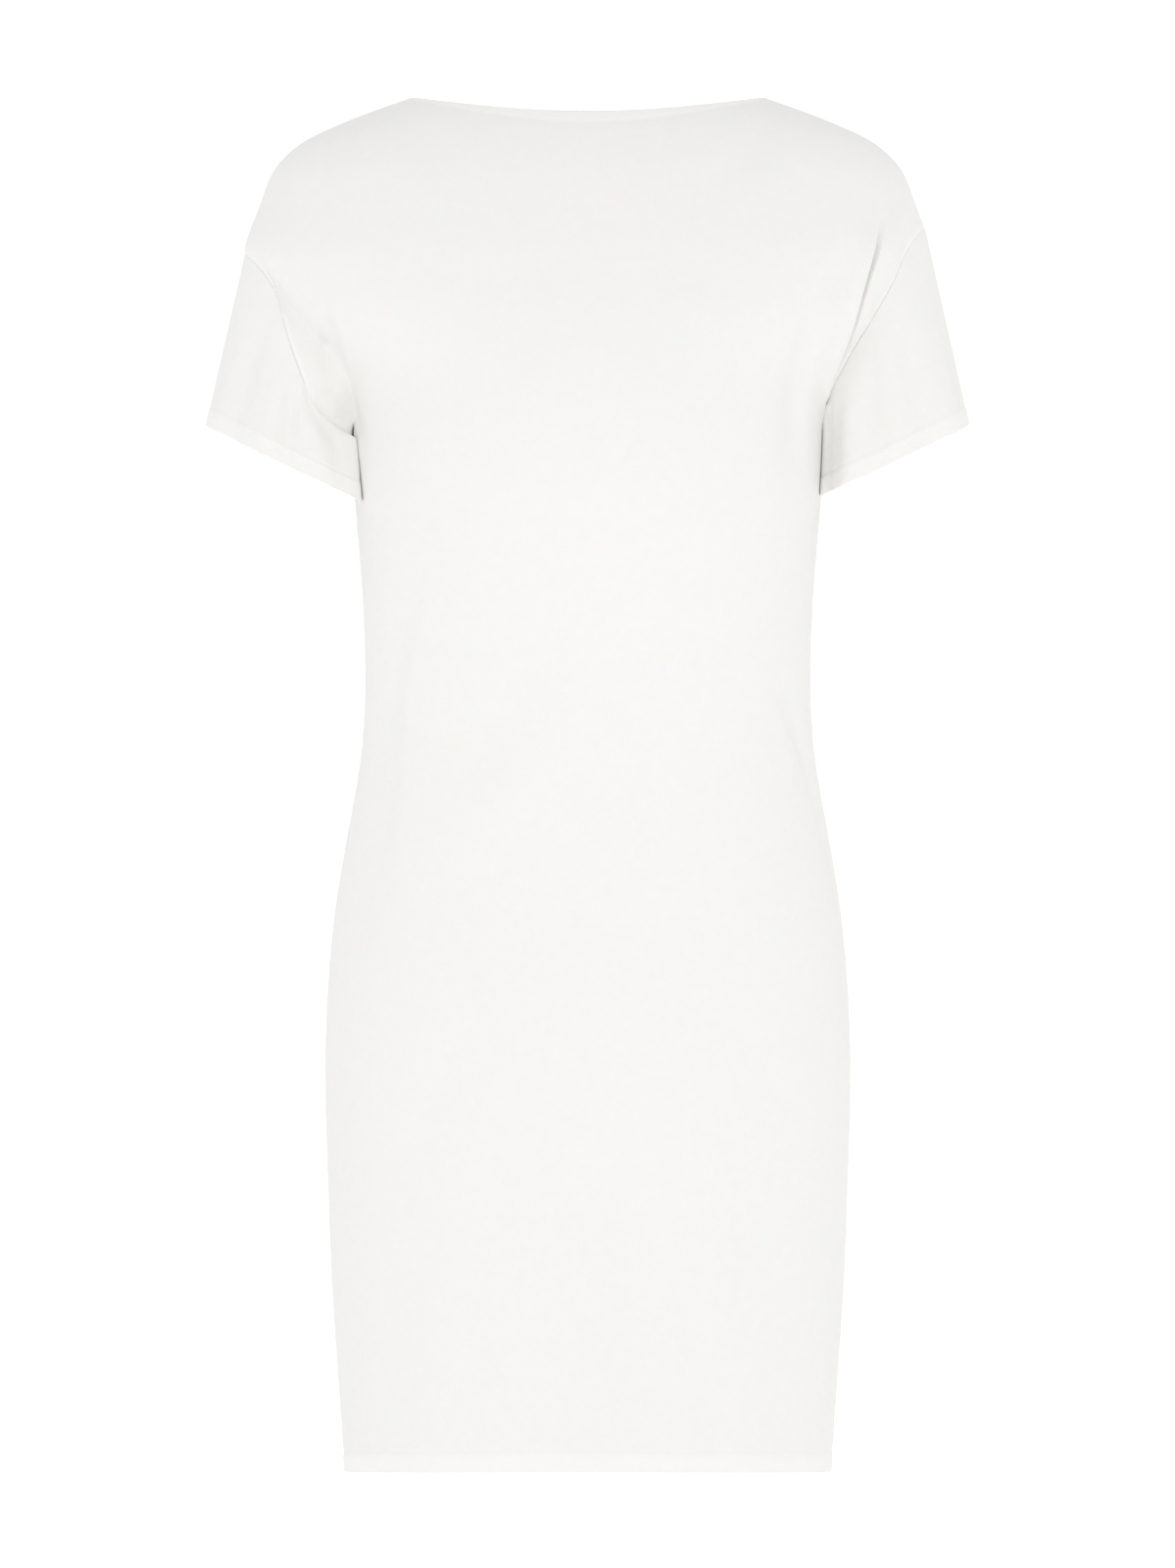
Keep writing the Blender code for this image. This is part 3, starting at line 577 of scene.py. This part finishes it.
def grid_normals(grid, outward, wraps=False):
    """Unit normals of a grid, averaged from its faces, on the side that outward points to."""
    if wraps:
        grid = np.concatenate([grid, grid[:, :1]], axis=1)
    across = grid[1:, 1:] - grid[:-1, :-1]
    other = grid[1:, :-1] - grid[:-1, 1:]
    faces = np.cross(across, other)
    faces /= np.linalg.norm(faces, axis=2, keepdims=True) + 1e-12
    rows, columns = grid.shape[:2]
    normals = np.zeros((rows, columns, 3))
    for i in (0, 1):
        for j in (0, 1):
            normals[i:rows - 1 + i, j:columns - 1 + j] += faces
    if wraps:
        normals[:, 0] += normals[:, -1]
        normals = normals[:, :-1]
    normals /= np.linalg.norm(normals, axis=2, keepdims=True) + 1e-12
    compared = normals[rows // 2, 0 if wraps else columns // 2]
    return normals if np.dot(compared, outward) > 0.0 else -normals


def rolled(panel, side, grid, normals, beyond, edge_drops):
    """How the fold at one armhole moves the panel's points."""
    drop = np.array(edge_drops)[:, None]
    depth, tuck, opening, kept = (
        roll_column(panel, side, column, drop) for column in ("depth", "tuck", "opening", "kept"))
    into = smooth((beyond + ROLL_LEAD * opening) / opening)
    back_out = smooth((beyond - ROLL_FLOOR * opening) / (ROLL_RISE * opening))
    down = depth * into * (1.0 - (1.0 - kept) * back_out)
    down -= LIP_HEIGHT * depth * falloff(np.abs(beyond + LIP_BACK), LIP_WIDTH)
    under = tuck * falloff(np.abs(beyond - TUCK_PLACE * opening), TUCK_WIDTH * opening)
    along = np.gradient(grid, axis=1)
    along /= np.linalg.norm(along, axis=2, keepdims=True)
    return -normals * down[..., None] - SIDES[side] * along * under[..., None]


def fold_relief(panel, points, fold):
    """How far one fold moves each point of a panel out or in."""
    path = np.array(fold.path)
    steps = np.linspace(0.0, len(path) - 1.0, FOLD_STEPS + 1)
    places = [curve_through(np.arange(len(path)), path[:, axis], steps) for axis in (0, 1)]
    line = body_points(panel, places[0], places[1])
    best = np.full(points.shape[:-1], np.inf)
    where = np.zeros(points.shape[:-1])
    turn = np.zeros(points.shape[:-1])
    for i in range(FOLD_STEPS):
        run = line[i + 1] - line[i]
        off = points - line[i]
        share = np.clip((off @ run) / (run @ run), 0.0, 1.0)
        distance = np.linalg.norm(off - share[..., None] * run, axis=-1)
        closer = distance < best
        best = np.where(closer, distance, best)
        where = np.where(closer, (i + share) / FOLD_STEPS, where)
        side = np.sign(off[..., 0] * run[2] - off[..., 2] * run[0])
        turn = np.where(closer, side, turn)
    width = fold.start_width + where * (fold.end_width - fold.start_width)
    width = width * (1.0 + fold.lean * turn)
    ends = np.clip(np.minimum(where, 1.0 - where) / fold.fade, 0.0, 1.0)
    return fold.height * falloff(best, width) * ends * (2.0 - ends)


def border_distances(grid):
    """Distance of each point from the first and last column and the first and last row."""
    rows = np.linalg.norm(np.diff(grid, axis=1), axis=2)
    columns = np.linalg.norm(np.diff(grid, axis=0), axis=2)
    across = np.concatenate([np.zeros((grid.shape[0], 1)), np.cumsum(rows, axis=1)], axis=1)
    up = np.concatenate([np.zeros((1, grid.shape[1])), np.cumsum(columns, axis=0)], axis=0)
    return across, across[:, -1:] - across, up, up[-1:] - up


def band_relief(distance, turning):
    """The raised band over a turned edge, with a faint groove along its inner end."""
    proud = BAND_PROUD * smooth((turning - distance) / BAND_EDGE + 0.5)
    groove = BAND_GROOVE * falloff(np.abs(distance - turning - BAND_EDGE), 1.5 * BAND_EDGE)
    return proud - groove


def pucker(along, seed, reach):
    """Slight uneven gathering of the cloth along a seam."""
    random = np.random.default_rng(seed)
    wave = np.zeros_like(along)
    for pitch in PUCKER_PITCHES:
        phase = random.uniform(0.0, 2.0 * math.pi)
        wave += random.uniform(0.6, 1.0) * np.sin(2.0 * math.pi * along / pitch + phase)
    return PUCKER * wave / 2.0 * reach


def sewing_relief(panel, grid):
    """Low relief of the turned hem and neck edge and of the seams of a panel."""
    first, last, up, down = border_distances(grid)
    relief = band_relief(up, HEM_TURNING)
    on_neck = smooth((NECK_HALF_WIDTH - np.abs(grid[..., 0])) / BAND_EDGE)
    relief += on_neck * band_relief(down, NECK_TURNING)
    for edge, number in ((first, 1), (last, 2)):
        reach = falloff(edge, PUCKER_REACH) * smooth(edge / PUCKER_START)
        relief += pucker(up, PUCKER_SEEDS[panel] + number, reach)
        dimple = np.hypot(edge - CORNER_REACH, up - HEM_TURNING)
        relief -= CORNER_DIMPLE * falloff(dimple, CORNER_REACH)
    return relief


def doubled(grid, hem, top, sides):
    """1 where an edge is turned back under the cloth and 0 elsewhere, for turnings of these widths."""
    first, last, up, down = border_distances(grid)
    edges = ((up, hem), (down, top), (first, sides), (last, sides))
    return np.max([smooth((width - away) / BAND_EDGE + 0.5) for away, width in edges if width], axis=0)


def panel_outer(panel):
    """Outer points of the front or back from the hem up, folds and sewing included, without turnings."""
    outward = (0.0, FACINGS[panel], 0.0)
    grid, beyond, edge_drops = panel_form(panel)
    normals = grid_normals(grid, outward)
    first, last, up, down = border_distances(grid)
    relief = sum(fold_relief(panel, grid, fold) for fold in FOLDS[panel])
    relief *= smooth(np.minimum(first, last) / FOLD_SIDE_FADE) * smooth(down / FOLD_TOP_FADE)
    relief += sewing_relief(panel, grid)
    moved = grid + normals * relief[..., None]
    for side in SIDES:
        moved += rolled(panel, side, grid, normals, beyond[side], edge_drops[side])
    on_seam = np.abs(grid[..., 1]) < SEAM_GAP
    moved[..., 1] = np.where(on_seam, FACINGS[panel] * SEAM_GAP / 2.0, moved[..., 1])
    return moved


def turned_edge(grid, normals, radius, turning):
    """Points that follow the last row of a grid where its edge is rounded over and lies back inside. The
    last row itself is moved to where the rounding starts."""
    around = np.radians(TURN_ANGLES)
    flat = np.linspace(radius, turning, TURN_STEPS + 1)[1:]
    back = np.concatenate([radius * (1.0 - np.sin(around)), flat])
    depth = np.concatenate([radius * (1.0 - np.cos(around)), np.full(TURN_STEPS, 2.0 * radius)])
    new = np.zeros((len(back), grid.shape[1], 3))
    start = np.zeros((grid.shape[1], 3))
    for j in range(grid.shape[1]):
        line = grid[-1:-TURN_ROWS - 1:-1, j]
        length = lengths_along(line)
        points = read_at(line, length, back)
        ways = read_at(normals[-1:-TURN_ROWS - 1:-1, j], length, back)
        new[:, j] = points - ways * depth[:, None]
        start[j] = read_at(line, length, np.array([radius]))[0]
    grid = grid.copy()
    grid[-1] = start
    return np.concatenate([grid, new])


def with_turnings(grid, outward, hem, top, sides, wraps=False):
    """A grid with all its edges turned in: (radius, turning) for the first row, last row and both ends."""
    normals = grid_normals(grid, outward, wraps)
    if top:
        grid = turned_edge(grid, normals, *top)
    if hem:
        normals = grid_normals(grid, outward, wraps)
        grid = turned_edge(grid[::-1], normals[::-1], *hem)[::-1]
    for flip in (False, True) if sides else ():
        normals = grid_normals(grid, outward, wraps)
        across = grid[:, ::-1] if flip else grid
        ways = normals[:, ::-1] if flip else normals
        across = turned_edge(across.transpose(1, 0, 2), ways.transpose(1, 0, 2), *sides).transpose(1, 0, 2)
        grid = across[:, ::-1] if flip else across
    return grid


def sleeve_outer(side, armhole):
    """Outer points of a sleeve from the armhole down to the cuff, with its folds."""
    plain_front = armhole_half(side, "front")[::-1]
    plain_back = armhole_half(side, "back")
    plain = np.concatenate([plain_front[:-1], plain_back[:-1]])
    end = cuff_loop(side)
    length = np.linalg.norm(end - plain, axis=1)
    down = np.concatenate([np.linspace(0.0, SLEEVE_TOP, SLEEVE_TOP_ROWS, endpoint=False),
                           np.linspace(SLEEVE_TOP, 1.0, SLEEVE_ROWS)])
    stations = down[:, None] * np.ones_like(length)
    base = plain + stations[..., None] * (end - plain)
    middle = len(base) // 2
    outward = base[middle, 0] - base[middle].mean(axis=0)
    normals = grid_normals(base, outward, wraps=True)
    relief = sleeve_relief(side, base, stations)
    to_cuff = (1.0 - stations) * length
    relief += band_relief(to_cuff, CUFF_TURNING)
    dip = smooth(1.0 - stations * length / SEAM_DIP_REACH)
    outer = base + normals * relief[..., None]
    outer = resting(side, outer, stations, smooth(stations * length / REST_FROM_SEAM))
    return outer + dip[..., None] * (armhole - plain), outward


def resting(side, points, stations, share):
    """Sleeve points near the body's form drawn against it by the given share, along the cuff's line."""
    out = SIDES[side] * points[..., 0]
    y = points[..., 1]
    front, back = (width_at(panel, y, -points[..., 2]) for panel in ("front", "back"))
    apart = out - np.where(y < 0.0, front, back)
    reach = REST_REACH[side]
    near = np.clip(apart / reach, 0.0, 1.0)
    moved = REST_GAP + (reach - REST_GAP) * near ** REST_POWER - apart
    low, high = REST_DROPS
    share = share * smooth((-points[..., 2] - low) / (high - low))
    shift = share * np.where(apart < reach, moved, 0.0)
    points = points.copy()
    points[..., 0] += SIDES[side] * shift
    points[..., 2] -= cuff_slope(side) * shift * smooth(stations)
    return points


def cuff_slope(side):
    """How much the cuff's line drops for each metre outwards."""
    line = CUFF_LINES[side]
    return (line.outer_drop - line.inner_drop) / (line.outer_out - line.inner_out)


def cuff_loop(side):
    """The flat edge of a sleeve, in as many steps over its front and over its back as the armhole."""
    line = CUFF_LINES[side]
    fronts = CUFF_FRONTS[side]
    loop = closed_curve(np.array(fronts + CUFF_BACKS[side]))
    drop = line.inner_drop + cuff_slope(side) * (loop[:, 0] - line.inner_out) - CUFF_TILT * loop[:, 1]
    loop = np.stack([SIDES[side] * loop[:, 0], loop[:, 1], -drop], axis=1)
    tip = (len(fronts) - 1) * SEAM_STEPS
    even = np.linspace(0.0, 1.0, YOKE_ROWS + 1)
    front = resampled(loop[:tip + 1], even)
    back = resampled(np.concatenate([loop[tip:], loop[:1]]), even)
    return np.concatenate([front[:-1], back[:-1]])


def sleeve_relief(side, base, stations):
    """How far the sleeve's folds move each of its points."""
    around = np.arange(base.shape[1]) / base.shape[1]
    girth = np.linalg.norm(base[-1] - np.roll(base[-1], 1, axis=0), axis=1).sum()
    relief = np.zeros(base.shape[:2])
    for fold in SLEEVE_FOLDS[side]:
        centre = fold.around_top + stations * (fold.around_cuff - fold.around_top)
        apart = np.abs(around - centre)
        apart = np.minimum(apart, 1.0 - apart) * girth
        width = fold.top_width + stations * (fold.cuff_width - fold.top_width)
        reach = smooth((stations - fold.start) / SLEEVE_FOLD_GROWTH)
        relief += fold.height * reach * falloff(apart, width)
    return relief


def across_seam(side):
    """Unit direction through the armhole, from the body out into the sleeve."""
    loop, _ = armhole_loop(side)
    area = np.cross(loop, np.roll(loop, -1, axis=0)).sum(axis=0)
    area /= np.linalg.norm(area)
    return area if area[0] * SIDES[side] > 0 else -area


def wall_mesh(name, outer, inner, wraps):
    """A closed thin wall between two grids of points."""
    rows, columns = outer.shape[:2]
    points = np.concatenate([outer.reshape(-1, 3), inner.reshape(-1, 3)])
    total = rows * columns
    last = columns if wraps else columns - 1
    i, j = np.meshgrid(np.arange(rows - 1), np.arange(last), indexing="ij")
    ahead = (j + 1) % columns
    skin = np.stack([i * columns + j, i * columns + ahead,
                     (i + 1) * columns + ahead, (i + 1) * columns + j]).reshape(4, -1).T
    faces = [skin, skin[:, ::-1] + total]
    j = np.arange(last)
    ahead = (j + 1) % columns
    for row, turned in ((0, False), (rows - 1, True)):
        rim = np.stack([row * columns + j, total + row * columns + j, total + row * columns + ahead,
                        row * columns + ahead]).T
        faces.append(rim[:, ::-1] if turned else rim)
    if not wraps:
        i = np.arange(rows - 1)
        for column, turned in ((0, True), (columns - 1, False)):
            rim = np.stack([i * columns + column, total + i * columns + column,
                            total + (i + 1) * columns + column, (i + 1) * columns + column]).T
            faces.append(rim[:, ::-1] if turned else rim)
    faces = np.concatenate(faces)
    a, b, c, d = (points[faces[:, k]] for k in range(4))
    volume = (np.cross(b, c) * a).sum() + (np.cross(c, d) * a).sum()
    if volume < 0.0:
        faces = faces[:, ::-1]
    mesh = bpy.data.meshes.new(name)
    mesh.from_pydata(points.tolist(), [], faces.tolist())
    mesh.shade_smooth()
    mesh.set_sharp_from_angle(angle=math.radians(SHARP_ANGLE))
    return mesh


def add_cloth(name, outer, outward, wraps, layers, material):
    """A named piece of cloth from its outer points and how far each of them lies on doubled cloth."""
    normals = grid_normals(outer, outward, wraps)
    inner = outer - normals * CLOTH
    piece = bpy.data.objects.new(name, wall_mesh(name, outer, inner, wraps))
    piece.data.materials.append(material)
    spare = [(outer.shape[0] - layers.shape[0]) // 2, (outer.shape[1] - layers.shape[1]) // 2]
    layers = np.pad(layers, [(spare[0], spare[0]), (spare[1], spare[1])], constant_values=1.0)
    attribute = piece.data.attributes.new("layers", "FLOAT", "POINT")
    attribute.data.foreach_set("value", np.tile(layers.ravel(), 2))
    bpy.context.scene.collection.objects.link(piece)
    return piece


def link(tree, source, target):
    """Joins one socket to another."""
    tree.links.new(source, target)


def cloth_material():
    """Off-white matt crepe: a fine pebbled weave with slight unevenness of tone."""
    material = bpy.data.materials.new("white_crepe")
    material.use_nodes = True
    tree = material.node_tree
    shader = tree.nodes["Principled BSDF"]
    place = tree.nodes.new("ShaderNodeTexCoord")

    def noise(scale, detail, roughness):
        node = tree.nodes.new("ShaderNodeTexNoise")
        node.inputs["Scale"].default_value = scale
        node.inputs["Detail"].default_value = detail
        node.inputs["Roughness"].default_value = roughness
        link(tree, place.outputs["Object"], node.inputs["Vector"])
        return node

    def ramp(source, low, high, low_colour, high_colour):
        node = tree.nodes.new("ShaderNodeValToRGB")
        node.color_ramp.elements[0].position = low
        node.color_ramp.elements[1].position = high
        node.color_ramp.elements[0].color = low_colour
        node.color_ramp.elements[1].color = high_colour
        link(tree, source, node.inputs["Fac"])
        return node

    pebble = noise(1500.0, 2.0, 0.55)
    slub = noise(160.0, 3.0, 0.6)
    cloud = noise(9.0, 2.0, 0.5)
    thread = tree.nodes.new("ShaderNodeTexWave")
    thread.wave_type = "BANDS"
    thread.bands_direction = "Z"
    thread.inputs["Scale"].default_value = 600.0
    thread.inputs["Distortion"].default_value = 3.0
    thread.inputs["Detail"].default_value = 1.0
    thread.inputs["Detail Scale"].default_value = 1.4
    link(tree, place.outputs["Object"], thread.inputs["Vector"])

    fine = ramp(slub.outputs["Fac"], 0.35, 0.70, (0.857, 0.851, 0.834, 1.0), (0.868, 0.863, 0.847, 1.0))
    broad = ramp(cloud.outputs["Fac"], 0.30, 0.70, (0.994, 0.994, 0.993, 1.0), (1.0, 1.0, 1.0, 1.0))
    tint = tree.nodes.new("ShaderNodeMix")
    tint.data_type = "RGBA"
    tint.blend_type = "MULTIPLY"
    tint.inputs["Factor"].default_value = 1.0
    link(tree, fine.outputs["Color"], tint.inputs["A"])
    link(tree, broad.outputs["Color"], tint.inputs["B"])
    layers = tree.nodes.new("ShaderNodeAttribute")
    layers.attribute_name = "layers"
    double = ramp(layers.outputs["Fac"], 0.0, 1.0, (0.992, 0.992, 0.991, 1.0), (1.020, 1.020, 1.019, 1.0))
    solid = tree.nodes.new("ShaderNodeMix")
    solid.data_type = "RGBA"
    solid.blend_type = "MULTIPLY"
    solid.inputs["Factor"].default_value = 1.0
    link(tree, tint.outputs["Result"], solid.inputs["A"])
    link(tree, double.outputs["Color"], solid.inputs["B"])
    link(tree, solid.outputs["Result"], shader.inputs["Base Color"])

    rough = tree.nodes.new("ShaderNodeMapRange")
    rough.inputs["To Min"].default_value = 0.82
    rough.inputs["To Max"].default_value = 0.94
    link(tree, slub.outputs["Fac"], rough.inputs["Value"])
    link(tree, rough.outputs["Result"], shader.inputs["Roughness"])

    height = tree.nodes.new("ShaderNodeMath")
    height.operation = "MULTIPLY_ADD"
    height.inputs[1].default_value = 0.45
    link(tree, thread.outputs["Fac"], height.inputs[0])
    link(tree, pebble.outputs["Fac"], height.inputs[2])
    bump = tree.nodes.new("ShaderNodeBump")
    bump.inputs["Strength"].default_value = 0.35
    bump.inputs["Distance"].default_value = 0.00012
    link(tree, height.outputs["Value"], bump.inputs["Height"])
    link(tree, bump.outputs["Normal"], shader.inputs["Normal"])
    shader.inputs["Metallic"].default_value = 0.0
    shader.inputs["Specular IOR Level"].default_value = 0.25
    shader.inputs["Sheen Weight"].default_value = 0.06
    shader.inputs["Sheen Roughness"].default_value = 0.5
    return material


def floor_material():
    """A matt pale floor that glows a little, as a light table does."""
    material = bpy.data.materials.new("pale_floor")
    material.use_nodes = True
    shader = material.node_tree.nodes["Principled BSDF"]
    shader.inputs["Base Color"].default_value = FLOOR_TONE
    shader.inputs["Roughness"].default_value = FLOOR_ROUGHNESS
    shader.inputs["Specular IOR Level"].default_value = 0.0
    shader.inputs["Emission Color"].default_value = WHITE
    shader.inputs["Emission Strength"].default_value = FLOOR_GLOW
    return material


# Camera: level with the middle of the dress, far enough off for a flat view
FRAME_HEIGHT = 0.9707
FRAME_CENTRE = (-0.0002, -0.4244)
CAMERA_DISTANCE = 8.0
SENSOR = 36.0

# Stage and light. The world's light falls from WORLD_LEVEL to WORLD_ZENITH between these heights of the
# direction that it comes from.
FLOOR_DROP = 1.45
FLOOR_RADIUS = 6.0
FLOOR_SIDES = 96
FLOOR_TONE = (0.82, 0.82, 0.82, 1.0)
FLOOR_ROUGHNESS = 0.9
FLOOR_GLOW = 0.31
WHITE = (1.0, 1.0, 1.0, 1.0)
WORLD_HEIGHTS = (0.15, 0.95)
WORLD_LEVEL = 1.105
WORLD_ZENITH = 0.80
KEY_PLACE = (0.08, -0.95, -0.42)
KEY_SIZE = 0.7
KEY_POWER = 0.65


def add_camera():
    """The photograph's view: straight at the front, as tall as FRAME_HEIGHT at the dress."""
    camera = bpy.data.objects.new("camera", bpy.data.cameras.new("camera"))
    x, z = FRAME_CENTRE
    camera.location = (x, -CAMERA_DISTANCE, z)
    camera.rotation_euler = (math.pi / 2.0, 0.0, 0.0)
    camera.data.sensor_width = SENSOR
    camera.data.lens = SENSOR * CAMERA_DISTANCE / FRAME_HEIGHT
    camera.data.clip_end = 100.0
    bpy.context.scene.collection.objects.link(camera)
    bpy.context.scene.camera = camera


def add_floor():
    """A plain pale floor, well below the hem."""
    bpy.ops.mesh.primitive_circle_add(vertices=FLOOR_SIDES, radius=FLOOR_RADIUS, fill_type="NGON",
                                      location=(0.0, 0.0, -FLOOR_DROP))
    floor = bpy.context.object
    floor.name = "floor"
    floor.data.materials.append(floor_material())


def add_world():
    """Soft white light from all round, a little weaker from straight above."""
    world = bpy.data.worlds.new("studio")
    world.use_nodes = True
    tree = world.node_tree
    background = tree.nodes["Background"]
    place = tree.nodes.new("ShaderNodeTexCoord")
    split = tree.nodes.new("ShaderNodeSeparateXYZ")
    level = tree.nodes.new("ShaderNodeMapRange")
    level.interpolation_type = "SMOOTHSTEP"
    level.inputs["From Min"].default_value, level.inputs["From Max"].default_value = WORLD_HEIGHTS
    level.inputs["To Min"].default_value = WORLD_LEVEL
    level.inputs["To Max"].default_value = WORLD_ZENITH
    link(tree, place.outputs["Generated"], split.inputs["Vector"])
    link(tree, split.outputs["Z"], level.inputs["Value"])
    link(tree, level.outputs["Result"], background.inputs["Strength"])
    background.inputs["Color"].default_value = WHITE
    bpy.context.scene.world = world


def add_key():
    """A broad weak light in front of the dress, a little to the wearer's left."""
    light = bpy.data.lights.new("key", "AREA")
    light.shape = "SQUARE"
    light.size = KEY_SIZE
    light.energy = KEY_POWER
    key = bpy.data.objects.new("key", light)
    key.location = KEY_PLACE
    towards = Vector((0.0, 0.0, -LENGTH / 2.0)) - key.location
    key.rotation_euler = towards.to_track_quat("-Z", "Y").to_euler()
    key.visible_camera = False
    bpy.context.scene.collection.objects.link(key)


def add_dress():
    """The four pieces, each on its own node."""
    cloth = cloth_material()
    outers = {panel: panel_outer(panel) for panel in FACINGS}
    for panel, outer in outers.items():
        outward = (0.0, FACINGS[panel], 0.0)
        turned = with_turnings(outer, outward, (TURN_RADIUS, HEM_TURNING), (TURN_RADIUS, NECK_TURNING),
                               (SEAM_RADIUS, SEAM_TURNING))
        layers = doubled(outer, HEM_TURNING, NECK_TURNING, SEAM_LINE)
        piece = add_cloth("dress_" + panel, turned, outward, False, layers, cloth)
        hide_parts(panel)
        finish_cloth(piece)
    yoke = -YOKE_ROWS - 1
    for side in SIDES:
        end = 0 if side == "right" else -1
        front = outers["front"][yoke:, end][::-1]
        back = outers["back"][yoke:, end]
        armhole = np.concatenate([front[:-1], back[:-1]]) + across_seam(side) * SEAM_GAP
        outer, outward = sleeve_outer(side, armhole)
        turned = with_turnings(outer, outward, (SEAM_RADIUS, SEAM_TURNING), (TURN_RADIUS, CUFF_TURNING),
                               None, wraps=True)
        layers = doubled(outer, 0.0, CUFF_TURNING, 0.0)
        piece = add_cloth("dress_sleeve_" + side, turned, outward, True, layers, cloth)
        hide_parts("sleeve_" + side)
        finish_cloth(piece)


def finish_cloth(piece):
    """Hangs a piece of cloth on the root body's empty."""
    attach(piece, "root")


bpy.context.scene.view_settings.view_transform = "Standard"
add_camera()
add_world()
add_key()
add_floor()
add_dress()
